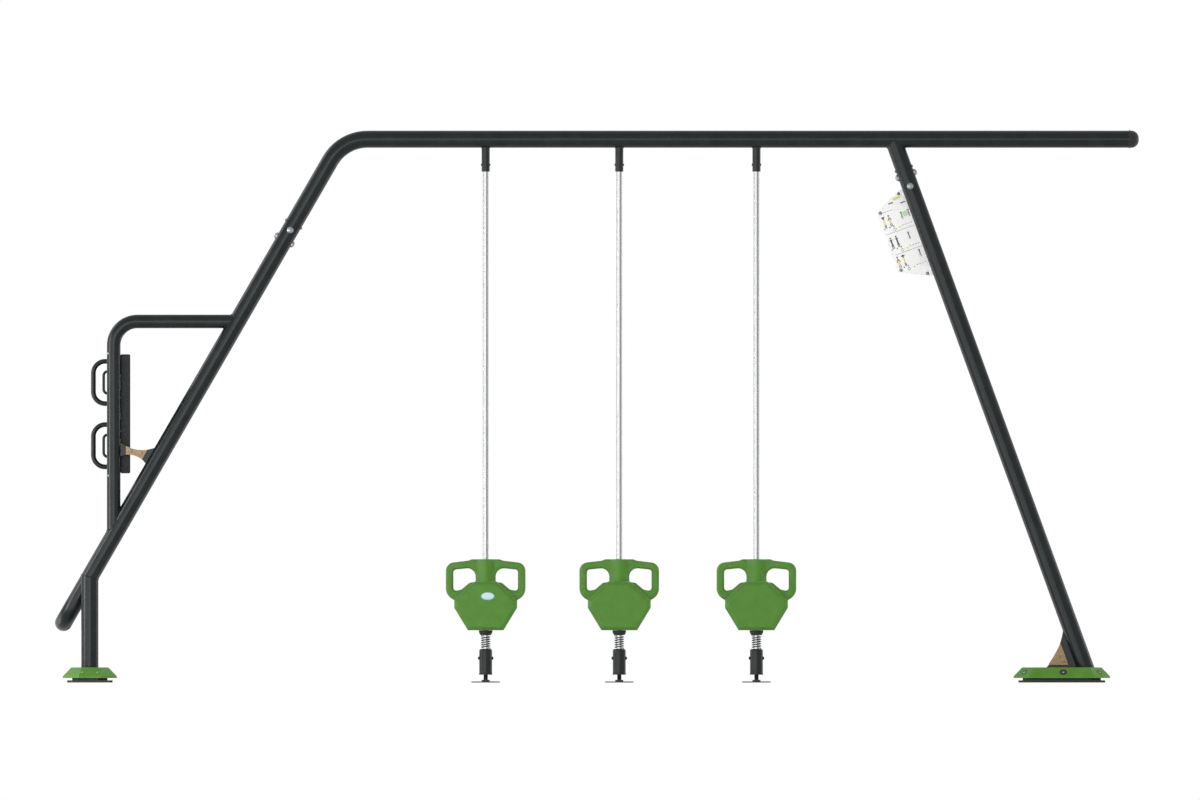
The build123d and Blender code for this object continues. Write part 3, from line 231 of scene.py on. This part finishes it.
# A faint white glow on the laminate is painted light: it lifts the shade that the leg casts on the board.
LAMINATE = moulded("white_high_pressure_laminate", ("#FAFAF9", "#FCFCFB"), 0.38, 4.0, 1.45,
                   **{"Emission Color": (1, 1, 1, 1), "Emission Strength": 0.07})
YELLOW_INK = moulded("yellow_printed_ink", ("#EFDA74", "#F3E185"), 0.42, 4.0, 1.45)
GREY_INK = moulded("dark_grey_printed_ink", ("#3C4244", "#464C4E"), 0.42, 4.0, 1.45)
TEAL_INK = moulded("teal_printed_ink", ("#4F8F90", "#5B999A"), 0.42, 4.0, 1.45)
GREEN_INK = moulded("pale_green_printed_ink", ("#C8E7C0", "#D0ECC8"), 0.42, 4.0, 1.45)
PALE_ENAMEL = moulded("pale_blue_enamel", ("#C4DEE4", "#CDE4E9"), 0.35, 5.0, 1.4)
BLUE_ENAMEL = moulded("blue_enamel", ("#6FAEB2", "#7CB8BB"), 0.35, 5.0, 1.4)

FINISHES = {
    ANTHRACITE: ["top_bar", "left_leg", "front_post", "leg_stub", "right_leg", "left_spigot",
                 "right_spigot", "front_grip_frame", "rear_grip_frame", "foot_bar", "arm_saddles",
                 "cross_tube", "rear_post", "board_saddles", "grip_gussets", "leg_gusset",
                 "info_board_tabs", "upper_front_grip", "upper_rear_grip", "lower_front_grip",
                 "lower_rear_grip", "upper_band_loop", "lower_band_loop"],
    BLACK_COAT: ["hanger_sleeves", "socket_1", "socket_2", "socket_3", "rod_feet", "front_anchor_plate",
                 "rear_anchor_plate", "leg_anchor_plate", "post_flanges", "leg_flange"],
    STAINLESS: ["guide_rod_1", "guide_rod_2", "guide_rod_3"],
    ZINC: ["joint_bolts", "board_bolts", "flange_bolts"],
    SPRING_STEEL: ["spring_1", "spring_2", "spring_3"],
    GREEN_PLASTIC: ["front_cover", "rear_cover", "leg_cover"],
    GREEN_RUBBER: ["weight_casing_1", "weight_casing_2", "weight_casing_3"],
    BLACK_RUBBER: ["buffer_1", "buffer_2", "buffer_3"],
    BLACK_NYLON: ["carriage_1", "carriage_2", "carriage_3", "top_bar_cap"],
    DARK_BOARD: ["grip_board"],
    WOOD: ["grip_gusset_inlays", "leg_gusset_inlays"],
    LAMINATE: ["info_board"],
}


def finish_nodes():
    """Gives every node of the model its finish."""
    for material, names in FINISHES.items():
        for name in names:
            nodes[name].data.materials.clear()
            nodes[name].data.materials.append(material)


# Pieces

SEAT_SINK = 0.4


def add_piece(name, mesh, material, body):
    """Makes an object of a mesh drawn in millimetres, and lets it ride on a body."""
    bmesh.ops.recalc_face_normals(mesh, faces=mesh.faces)
    data = bpy.data.meshes.new(name)
    mesh.to_mesh(data)
    mesh.free()
    data.transform(Matrix.Scale(MM, 4))
    data.materials.append(material)
    piece = bpy.data.objects.new(name, data)
    bpy.context.scene.collection.objects.link(piece)
    smooth_by_angle(data)
    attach(piece, body)
    return piece


def smooth_by_angle(data, limit=math.radians(32)):
    """Shades a mesh smooth, apart from edges that are sharper than the limit."""
    mesh = bmesh.new()
    mesh.from_mesh(data)
    for edge in mesh.edges:
        edge.smooth = len(edge.link_faces) == 2 and edge.calc_face_angle(0) < limit
    for face in mesh.faces:
        face.smooth = True
    mesh.to_mesh(data)
    mesh.free()


def facing(point, direction):
    """Placement whose Z axis points along a direction."""
    return Matrix.Translation(point) @ direction.to_track_quat("Z", "Y").to_matrix().to_4x4()


def turn(mesh, profile, place, sides=24, hollow=False):
    """Turns a profile of (radius, height, corners) round Z; a ring with 6 corners is a hexagon."""
    rings = []
    for radius, height, corners in profile:
        loop = []
        for step in range(sides):
            angle = 2 * math.pi * step / sides
            reach = radius
            if corners:
                half = math.pi / corners
                reach = radius * math.cos(half) / math.cos((angle % (2 * half)) - half)
            spot = Vector((reach * math.cos(angle), reach * math.sin(angle), height))
            loop.append(mesh.verts.new(place @ spot))
        rings.append(loop)
    pairs = list(zip(rings, rings[1:]))
    if hollow:
        pairs.append((rings[-1], rings[0]))
    else:
        mesh.faces.new(rings[0])
        mesh.faces.new(rings[-1])
    for low, high in pairs:
        for step in range(sides):
            after = (step + 1) % sides
            mesh.faces.new((low[step], low[after], high[after], high[step]))


def button_head(diameter, height, socket):
    """Profile of a button-head screw with a hexagon socket, from its seat up."""
    radius = diameter / 2
    return [(radius * 0.94, 0.0, 0), (radius, height * 0.12, 0), (radius * 0.97, height * 0.45, 0),
            (radius * 0.8, height * 0.8, 0), (radius * 0.55, height * 0.97, 0), (socket * 0.62, height, 0),
            (socket * 0.55, height * 0.98, 6), (socket * 0.52, height * 0.35, 6)]


def screws(name, spots, diameter, height, socket, material, body):
    """A set of equal button-head screws, each seated at a point and facing a direction."""
    mesh = bmesh.new()
    for point, direction in spots:
        turn(mesh, button_head(diameter, height, socket), facing(point, direction))
    return add_piece(name, mesh, material, body)


def washers(name, spots, inner, outer, height, material, body):
    """A set of flat rings with rounded edges, each seated at a point and facing a direction."""
    mesh = bmesh.new()
    edge = min(height, outer - inner) * 0.3
    profile = [(inner, 0, 0), (outer, 0, 0), (outer, height - edge, 0), (outer - edge, height, 0),
               (inner + edge, height, 0), (inner, height - edge, 0)]
    for point, direction in spots:
        turn(mesh, profile, facing(point, direction), sides=36, hollow=True)
    return add_piece(name, mesh, material, body)


def bead(mesh, line, radius):
    """Adds a round bead along a closed line of points, with the ripples of a hand-made weld."""
    sides = 8
    angles = [2 * math.pi * side / sides for side in range(sides)]
    rings = []
    for index, point in enumerate(line):
        ahead = line[(index + 1) % len(line)] - line[index - 1]
        place = facing(point, ahead)
        swell = radius * (1 + 0.12 * math.sin(index * 2.1))
        spots = [Vector((swell * math.cos(a), swell * math.sin(a), 0)) for a in angles]
        rings.append([mesh.verts.new(place @ spot) for spot in spots])
    for index, low in enumerate(rings):
        high = rings[(index + 1) % len(rings)]
        shift = min(range(sides), key=lambda side: (high[side].co - low[0].co).length)
        for step in range(sides):
            after = (step + 1) % sides
            far, near = (after + shift) % sides, (step + shift) % sides
            mesh.faces.new((low[step], low[after], high[far], high[near]))


def saddle_line(origin, direction, radius, tube_point, tube_direction, tube_radius, steps):
    """Line where a round branch, running out along its direction, meets a larger round tube."""
    side = direction.orthogonal().normalized()
    up = direction.cross(side)
    across = direction - tube_direction * direction.dot(tube_direction)
    line = []
    for step in range(steps):
        angle = 2 * math.pi * step / steps
        start = origin + side * (radius * math.cos(angle)) + up * (radius * math.sin(angle))
        offset = start - tube_point
        offset -= tube_direction * offset.dot(tube_direction)
        a, b, c = across.dot(across), 2 * offset.dot(across), offset.dot(offset) - tube_radius ** 2
        reach = (-b + math.sqrt(max(b * b - 4 * a * c, 0))) / (2 * a)
        line.append(start + direction * reach)
    return line


def slope_point(height, y):
    """Point on a sloping tube's axis."""
    return Vector((POST_X + (height - MITRE_HEIGHT) * math.tan(SLOPE_ANGLE), y, height))


def make_welds():
    """Weld beads where the tubes of the frame meet."""
    mesh = bmesh.new()
    sleeve_bead, leg_bead, branch_bead, post_bead, mitre_bead = 2.6, 3.2, 3.0, 2.8, 2.4
    left, up, down = Vector((-1, 0, 0)), Vector((0, 0, 1)), Vector((0, 0, -1))
    # A branch as wide as its tube is taken a little narrower, so that its line stays on the tube.
    equal_branch = TUBE_RADIUS - 0.4
    bar = (Vector((POST_X, FRONT_Y, BAR_HEIGHT)), Vector((1, 0, 0)), TUBE_RADIUS)
    for x in RODS:
        sleeve = Vector((x, FRONT_Y, BAR_HEIGHT))
        bead(mesh, saddle_line(sleeve, down, SLEEVE_RADIUS, *bar, 40), sleeve_bead)
    bead(mesh, saddle_line(LEG_TOP, LEG_DOWN, equal_branch, *bar, 90), leg_bead)
    frame_foot = MITRE_HEIGHT + GRIP_TUBE_FROM_POST / math.tan(SLOPE_ANGLE)
    for y in (FRONT_Y, REAR_Y):
        slope = (slope_point(MITRE_HEIGHT, y), SLOPE_UP, TUBE_RADIUS)
        inward = Vector((0, -1 if y > 0 else 1, 0))
        branches = ((GRIP_FRAME_HEIGHT, left, 72), (frame_foot, up, 90), (CROSS_TUBE_HEIGHT, inward, 72))
        for height, way, steps in branches:
            line = saddle_line(slope_point(height, y), way, GRIP_TUBE_RADIUS, *slope, steps)
            bead(mesh, line, branch_bead)
    rear_slope = (slope_point(MITRE_HEIGHT, REAR_Y), SLOPE_UP, TUBE_RADIUS)
    bead(mesh, saddle_line(rear_slope[0], down, equal_branch, *rear_slope, 90), post_bead)
    mitre = []
    steps = 80
    for step in range(steps):
        angle = 2 * math.pi * step / steps
        x = TUBE_RADIUS * math.cos(angle)
        mitre.append(Vector((POST_X + x, FRONT_Y + TUBE_RADIUS * math.sin(angle),
                             MITRE_HEIGHT - x * math.tan(SLOPE_ANGLE / 2))))
    bead(mesh, mitre, mitre_bead)
    return add_piece("weld_beads", mesh, ANTHRACITE, "frame")


def make_rod_fasteners():
    """Grub screws of the hanger sleeves, bolts of the sockets and the sockets' lower rims."""
    sleeve_height, socket_height, rim_height = 2287.0, 107.8, 34.5
    sleeve_sink, socket_sink, rim_width, rim_depth = 0.6, 0.8, 0.8, 6.6
    sleeve_spots, socket_spots, rim_spots = [], [], []
    for x in RODS:
        for side in (-1, 1):
            way = Vector((side, 0, 0))
            on_sleeve = Vector((x, FRONT_Y, sleeve_height)) + way * (SLEEVE_RADIUS - sleeve_sink)
            on_socket = Vector((x, FRONT_Y, socket_height)) + way * (SOCKET_RADIUS - socket_sink)
            sleeve_spots.append((on_sleeve, way))
            socket_spots.append((on_socket, way))
        rim_spots.append((Vector((x, FRONT_Y, rim_height)), Vector((0, 0, 1))))
    screws("sleeve_screws", sleeve_spots, 11.0, 3.8, 4.0, BLACK_COAT, "frame")
    screws("socket_bolts", socket_spots, 15.0, 6.8, 6.0, BLACK_COAT, "frame")
    washers("socket_rims", rim_spots, SOCKET_RADIUS, SOCKET_RADIUS + rim_width, rim_depth, BLACK_RUBBER,
            "frame")


def make_stud_threads():
    """Rolled thread on the levelling studs between nut and socket."""
    mesh = bmesh.new()
    pitch, root, crest = 2.5, 9.0, 9.9
    low, high, sides = 12.0, 34.4, 24
    # Radius and share of the pitch at each corner of the thread's section, which starts inside the stud
    section = ((root - 0.5, 0.0), (root, 0.1), (crest, 0.5), (root, 0.9), (root - 0.5, 0.97))
    steps = int((high - low - pitch) / pitch * sides)
    for x in RODS:
        rows = []
        for step in range(steps + 1):
            angle = 2 * math.pi * step / sides
            way = Vector((math.cos(angle), math.sin(angle), 0))
            centre = Vector((x, FRONT_Y, low + pitch * step / sides))
            spots = [centre + way * radius + Vector((0, 0, pitch * share)) for radius, share in section]
            rows.append([mesh.verts.new(spot) for spot in spots])
        for before, after in zip(rows, rows[1:]):
            for corner in range(len(section)):
                following = (corner + 1) % len(section)
                mesh.faces.new((before[corner], before[following], after[following], after[corner]))
        mesh.faces.new(rows[0])
        mesh.faces.new(rows[-1])
    return add_piece("stud_threads", mesh, BLACK_COAT, "frame")


def make_bar_cap():
    """Cap on the free end of the top bar: a rim, a short straight collar and a well-rounded end."""
    low, high = (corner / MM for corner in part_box("top_bar_cap"))
    rim, length = (high.z - low.z) / 2, high.x - low.x
    rim_length, rounding = 6.0, 33.0
    profile = [(rim - 1.0, 0.0, 0), (rim, 1.0, 0), (rim, rim_length - 1.0, 0), (rim - 1.0, rim_length, 0),
               (TUBE_RADIUS, rim_length + 0.2, 0)]
    steps = 9
    for step in range(steps + 1):
        angle = math.pi / 2 * step / steps
        radius = TUBE_RADIUS - rounding * (1 - math.cos(angle))
        profile.append((radius, length - rounding * (1 - math.sin(angle)), 0))
    mesh = bmesh.new()
    turn(mesh, profile, facing(Vector((low.x, FRONT_Y, BAR_HEIGHT)), Vector((1, 0, 0))), sides=64)
    cap = add_piece("bar_cap_skin", mesh, BLACK_NYLON, "frame")
    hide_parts("top_bar_cap")


COVER_RIM = 8.0
COVER_INSET = 38.0
COVER_CORNER = 70.0
COVER_SCREW_HEIGHT = 45.5


def cover_seat(node, heading, along=0.0):
    """Point and direction on the sloping side of a base cover, on the side that faces a heading."""
    low, high = (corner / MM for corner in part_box(node))
    centre = (low + high) / 2
    rise = high.z - low.z - COVER_RIM
    drawn_in = COVER_INSET * (COVER_SCREW_HEIGHT - low.z - COVER_RIM) / rise
    half = (high - low) / 2 - Vector((drawn_in, drawn_in, 0))
    corner = COVER_CORNER - drawn_in * (2 - math.sqrt(2))
    x, y = heading
    if x and y:
        seat = Vector((x * (half.x - corner / 2), y * (half.y - corner / 2), 0))
    else:
        seat = Vector((x * half.x + along, y * half.y, 0))
    way = Vector((x, y, 0)).normalized() * rise + Vector((0, 0, COVER_INSET))
    way.normalize()
    return Vector((centre.x, centre.y, COVER_SCREW_HEIGHT)) + seat - way * SEAT_SINK, way


def make_cover_screws():
    """Screws that hold the base covers, in their washers and plugs."""
    from_middle, plug_shift = 34.0, 6.8
    posts = [cover_seat(node, (0, side), along) for node in ("front_cover", "rear_cover")
             for side in (-1, 1) for along in (-from_middle, from_middle)]
    corners = [cover_seat("leg_cover", (x, y)) for x in (-1, 1) for y in (-1, 1)]
    middles = [cover_seat("leg_cover", (0, side), plug_shift) for side in (-1, 1)]
    screws("cover_caps", posts, 11.0, 3.2, 4.5, PALE_NYLON, "frame")
    screws("cover_screws", corners, 13.0, 3.6, 5.0, ZINC, "frame")
    # The washers' dark green is painted shade of the recess round each screw.
    washers("cover_washers", corners, 6.6, 13.0, 1.8, RECESS_SHADE_GREEN_NYLON, "frame")
    washers("cover_plugs", middles, 6.6, 15.5, 3.0, BLACK_NYLON, "frame")
    screws("cover_plug_screws", middles, 13.0, 3.8, 5.0, ZINC, "frame")


def make_gusset_screws():
    """Screws through the wooden inlays."""
    face = 16.0
    places = [(x, y, z) for y in (FRONT_Y, REAR_Y) for x, z in ((184.5, 1024.3), (226.0, 1013.7))]
    places += [(x, FRONT_Y, z) for x, z in ((4280.4, 112.2), (4300.2, 94.1))]
    spots = []
    for x, y, z in places:
        for side in (-1, 1):
            way = Vector((0, side, 0))
            spots.append((Vector((POST_X + x, y, z)) + way * (face - SEAT_SINK), way))
    screws("inlay_screws", spots, 12.0, 3.0, 5.0, WEATHERED_ZINC, "frame")


def make_frame_screws():
    """Small screws in the outer side of the grip frames, above and below the grip board."""
    turned, sink = math.radians(35), 0.6
    spots = []
    for y, side in ((FRONT_Y, -1), (REAR_Y, 1)):
        way = Vector((-math.cos(turned), side * math.sin(turned), 0))
        for height in (1454.3, 914.5):
            centre = Vector((POST_X + GRIP_TUBE_FROM_POST, y, height))
            spots.append((centre + way * (GRIP_TUBE_RADIUS - sink), way))
    screws("frame_screws", spots, 11.0, 3.0, 4.0, ZINC, "frame")


# Printed board

SIGN_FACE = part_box("info_board")[0].y / MM
PRINT_THICKNESS = 0.35
INK_LAYER = 0.02


def on_sign(out, along):
    """Point on the board's front face, out from the leg's axis and down along the leg."""
    point = LEG_TOP + LEG_OUT * out + LEG_DOWN * along
    return Vector((point.x, SIGN_FACE, point.z))


def print_shape(mesh, corners, layer=0):
    """Adds one flat printed shape by its corners on the board; shapes that cross lie on other layers."""
    height = PRINT_THICKNESS + INK_LAYER * layer
    back = [mesh.verts.new(on_sign(*c) - TOWARDS_VIEWER * INK_LAYER * layer) for c in corners]
    front = [mesh.verts.new(on_sign(*c) + TOWARDS_VIEWER * height) for c in corners]
    mesh.faces.new(back)
    mesh.faces.new(front)
    for index in range(len(corners)):
        after = (index + 1) % len(corners)
        mesh.faces.new((back[index], back[after], front[after], front[index]))


def disc(out, along, radius, sides=16):
    """Corners of a printed dot."""
    turns = [2 * math.pi * s / sides for s in range(sides)]
    return [(out + radius * math.cos(a), along + radius * math.sin(a)) for a in turns]


def stroke(start, end, width):
    """Corners of a printed stroke with round ends."""
    run = Vector(end) - Vector(start)
    heading = math.atan2(run.y, run.x)
    half, steps = width / 2, 6
    corners = []
    for centre, first in ((end, heading - math.pi / 2), (start, heading + math.pi / 2)):
        for step in range(steps + 1):
            angle = first + math.pi * step / steps
            corners.append((centre[0] + half * math.cos(angle), centre[1] + half * math.sin(angle)))
    return corners


def ring(mesh, out, along, radius, width, sides=32):
    """Adds a printed ring in short strokes."""
    corners = disc(out, along, radius, sides)
    for index, corner in enumerate(corners):
        print_shape(mesh, stroke(corner, corners[(index + 1) % sides], width), index % 2)


def figure(dark, bright, out, along, size, arms, stride):
    """A plain stick figure: dark head, arms and shins, and a body and thighs that may be bright."""
    print_shape(dark, disc(out, along - 0.42 * size, 0.075 * size))
    # Places and widths are shares of the figure's size.
    hip, chest = (0.0, 0.06), (0.0, -0.26)
    body, thigh, thin = 0.13, 0.09, 0.06
    knees, feet = ((-stride, 0.28), (stride, 0.28)), ((-stride, 0.5), (stride * 0.8, 0.5))
    hands = ((-0.14, -0.26 - arms), (0.14, -0.26 - arms))
    limbs = [(bright, chest, hip, body)]
    limbs += [(bright, hip, knee, thigh) for knee in knees]
    limbs += [(dark, knee, foot, thin) for knee, foot in zip(knees, feet)]
    limbs += [(dark, chest, hand, thin) for hand in hands]
    for layer, (mesh, start, end, width) in enumerate(limbs, start=1):
        points = [(out + x * size, along + z * size) for x, z in (start, end)]
        print_shape(mesh, stroke(*points, width * size), layer)


def make_print():
    """Generic exercise figures in three rows, with plain bars in place of words."""
    inks = {"yellow": YELLOW_INK, "grey": GREY_INK, "teal": TEAL_INK, "green": GREEN_INK}
    shapes = {name: bmesh.new() for name in inks}
    dark = shapes["grey"]
    # Each row's place down the leg, and the place out from the leg of its small third figure, if any
    rows = ((333.0, 0.0), (430.0, 79.0), (519.0, 60.0))
    for row, (along, third) in enumerate(rows):
        bright = dark if row == 1 else shapes["yellow"]
        dashes = shapes["teal"] if row == 2 else dark
        figure(dark, bright, 162.0, along, 52.0, 0.2 - 0.22 * row, 0.05 + 0.01 * row)
        figure(dark, bright, 136.0, along, 52.0, -0.2 + 0.18 * row, 0.06 - 0.01 * row)
        for out in (171.0, 147.0, 128.0)[row // 2:]:
            print_shape(dark, disc(out, along + 29.0, 3.0))
        if third:
            figure(dark, dark, third, along - 8.0, 34.0, 0.1 * row, 0.08)
        ring(shapes["teal"], 128.0, along + 43.0, 7.0, 2.0, sides=4)
        print_shape(shapes["yellow"], disc(104.0, along + 42.0, 5.0))
        for out in (92.0, 79.0, 66.0, 53.0):
            print_shape(dashes, stroke((out, along + 38.0), (out - 6.0, along + 38.0), 2.4))
        if row < 2:
            print_shape(dark, stroke((172.0 - 7.0 * row, along + 55.0), (42.0, along + 55.0), 1.4))
    print_shape(shapes["green"], disc(62.0, 326.0, 13.0))
    figure(dark, dark, 79.0, 328.0, 32.0, 0.2, 0.08)
    figure(dark, dark, 46.0, 328.0, 32.0, 0.3, 0.08)
    print_shape(dark, stroke((170.0, 291.0), (108.0, 291.0), 1.6))
    print_shape(dark, stroke((116.0, 262.0), (98.0, 262.0), 5.0))
    print_shape(shapes["yellow"], stroke((88.0, 250.0), (62.0, 250.0), 10.0))
    print_shape(dark, stroke((64.0, 276.0), (45.0, 276.0), 5.0))
    for name, ink in inks.items():
        add_piece(f"board_print_{name}", shapes[name], ink, "frame")
    corners = ((165, 288), (60, 235), (165, 556), (60, 609))
    spots = [(on_sign(*corner), TOWARDS_VIEWER) for corner in corners]
    screws("board_screws", spots, 15.0, 3.6, 5.0, WEATHERED_ZINC, "frame")


# Weights

def make_weight_skins():
    """Moulded skins of the weights, with the soft inner corners that a mould gives."""
    # Corners nearer to the rod than the bore keep stay sharp, and soften over the blend beyond it.
    voxel, bore_keep, blend = 2.6, 28.0, 6.0
    for number, x in enumerate(RODS, start=1):
        node = nodes[f"weight_casing_{number}"]
        skin = bpy.data.objects.new(f"weight_skin_{number}", node.data.copy())
        bpy.context.scene.collection.objects.link(skin)
        weld = skin.modifiers.new("join", "WELD")
        weld.merge_threshold = 0.02 * MM
        remesh = skin.modifiers.new("voxels", "REMESH")
        remesh.mode = "VOXEL"
        remesh.voxel_size = voxel * MM
        apply_modifiers(skin)
        soft = skin.vertex_groups.new(name="soft")
        for vertex in skin.data.vertices:
            reach = math.hypot(vertex.co.x / MM - x, vertex.co.y / MM - FRONT_Y)
            soft.add([vertex.index], min(max((reach - bore_keep) / blend, 0.0), 1.0), "REPLACE")
        soften = skin.modifiers.new("soften", "LAPLACIANSMOOTH")
        soften.iterations = 6
        soften.lambda_factor = 0.6
        soften.vertex_group = soft.name
        thin = skin.modifiers.new("thin", "DECIMATE")
        thin.ratio = 0.35
        apply_modifiers(skin)
        skin.data.materials.clear()
        skin.data.materials.append(GREEN_RUBBER)
        skin.data.shade_smooth()
        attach(skin, f"weight_{number}")
        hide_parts(f"weight_casing_{number}")


def apply_modifiers(piece):
    """Turns an object's modifiers into its mesh."""
    graph = bpy.context.evaluated_depsgraph_get()
    data = bpy.data.meshes.new_from_object(piece.evaluated_get(graph))
    piece.modifiers.clear()
    piece.data = data


def make_badge():
    """Bare oval badge with a pale rim on the front of the first weight."""
    width, height, sides = 62.0, 35.0, 48
    from_rod, from_axis, above_ground = 9.0, 58.0, 381.6
    half = width / 2
    upright = Matrix.Rotation(math.radians(90), 4, "X")
    seat = Matrix.Translation((RODS[0] + from_rod, FRONT_Y - from_axis, above_ground))
    oval = seat @ upright @ Matrix.Diagonal((1.0, height / width, 1.0, 1.0))
    rim, plate = bmesh.new(), bmesh.new()
    turn(rim, [(half, -0.4, 0), (half, 0.9, 0), (half - 1.0, 1.6, 0), (half - 3.5, 1.6, 0),
               (half - 4.0, 0.4, 0)], oval, sides)
    turn(plate, [(27.2, 0.4, 0), (27.2, 1.1, 0), (22.0, 1.7, 0), (12.0, 2.1, 0), (3.0, 2.25, 0)],
         oval, sides)
    add_piece("badge_rim", rim, BLUE_ENAMEL, "weight_1")
    add_piece("badge_plate", plate, PALE_ENAMEL, "weight_1")


# Stage

def make_stage():
    """Pale floor, even studio light, white surround and a level camera without perspective."""
    scene = bpy.context.scene
    scene.view_settings.view_transform = "Standard"
    bpy.ops.mesh.primitive_plane_add(size=60, location=(0, 0, -0.002))
    floor = bpy.context.object
    floor.name = "floor"
    material, tree, shader, _ = new_material("pale_floor")
    seen = add(tree, "ShaderNodeLightPath", {}).outputs["Is Camera Ray"]
    lift = add(tree, "ShaderNodeMapRange", {"Value": seen, "To Max": 0.08})
    fill(shader, {"Base Color": linear("#F4F4F3"), "Roughness": 0.9, "Emission Color": (1, 1, 1, 1),
                  "Emission Strength": lift.outputs["Result"]})
    floor.data.materials.append(material)
    floor.visible_glossy = False

    world = bpy.data.worlds.new("studio")
    scene.world = world
    world.use_nodes = True
    tree = world.node_tree
    tree.nodes.clear()
    ray = add(tree, "ShaderNodeLightPath", {})
    seen = add(tree, "ShaderNodeMath", {0: ray.outputs["Is Camera Ray"], 1: ray.outputs["Is Glossy Ray"]},
               operation="MAXIMUM")
    shown = add(tree, "ShaderNodeMath", {0: seen.outputs[0], 1: ray.outputs["Is Transmission Ray"]},
                operation="MAXIMUM")
    strength = add(tree, "ShaderNodeMapRange", {"Value": shown.outputs[0], "To Min": 0.45, "To Max": 1.0})
    sky = add(tree, "ShaderNodeBackground", {"Color": (1, 1, 1, 1), "Strength": strength.outputs["Result"]})
    add(tree, "ShaderNodeOutputWorld", {"Surface": sky.outputs["Background"]})

    # Fill lamps light the surfaces; soft boxes show only in the gloss of tubes, rods and mouldings, and the
    # rim boxes put the pale line along the edges of the sloping tubes.
    aim = Vector((0, 0, 1.2))
    lamps = (("front", (-5.0, -9.0, 3.8), 6.0, 6.0, 460.0, False),
             ("left", (-10.0, -0.8, 2.4), 2.2, 2.2, 260.0, False),
             ("right", (10.0, -2.0, 2.4), 2.2, 2.2, 330.0, False),
             ("back", (2.0, 9.0, 4.5), 6.0, 6.0, 320.0, False),
             ("front_box", (-7.5, -12.0, -0.5), 13.0, 13.0, 1250.0, True),
             ("head_box", (-2.0, -60.0, 3.0), 16.0, 10.0, 2700.0, True),
             ("left_box", (-4.4, -0.9, 1.2), 0.9, 2.3, 65.0, True),
             ("right_box", (10.0, 3.6, 1.8), 2.4, 3.4, 100.0, True),
             ("upper_left_rim_box", (-9.8, 4.1, 6.8), 5.0, 5.0, 200.0, True),
             ("lower_left_rim_box", (-10.6, 4.1, -2.9), 5.0, 5.0, 200.0, True),
             ("lower_right_rim_box", (9.8, 4.1, -4.4), 5.0, 5.0, 160.0, True))
    for name, spot, width, height, power, in_gloss in lamps:
        light = bpy.data.lights.new(name, "AREA")
        light.shape = "RECTANGLE"
        light.size = width
        light.size_y = height
        light.energy = power
        lamp = bpy.data.objects.new(name, light)
        lamp.location = spot
        lamp.rotation_euler = (aim - lamp.location).to_track_quat("-Z", "Y").to_euler()
        lamp.visible_camera = False
        lamp.visible_diffuse = not in_gloss
        lamp.visible_glossy = in_gloss
        scene.collection.objects.link(lamp)

    camera = bpy.data.objects.new("camera", bpy.data.cameras.new("camera"))
    camera.data.type = "ORTHO"
    camera.data.ortho_scale = PHOTO_WIDTH * MM_PER_PIXEL * MM
    post_pixel, floor_pixel = 89.83, 682.55
    camera.location = ((POST_X + (PHOTO_WIDTH / 2 - post_pixel) * MM_PER_PIXEL) * MM, -9.0,
                       (floor_pixel - PHOTO_HEIGHT / 2) * MM_PER_PIXEL * MM)
    camera.rotation_euler = (math.radians(90), 0, 0)
    scene.collection.objects.link(camera)
    scene.camera = camera


make_stage()
finish_nodes()
make_welds()
make_rod_fasteners()
make_stud_threads()
make_bar_cap()
make_cover_screws()
make_gusset_screws()
make_frame_screws()
make_print()
make_weight_skins()
make_badge()
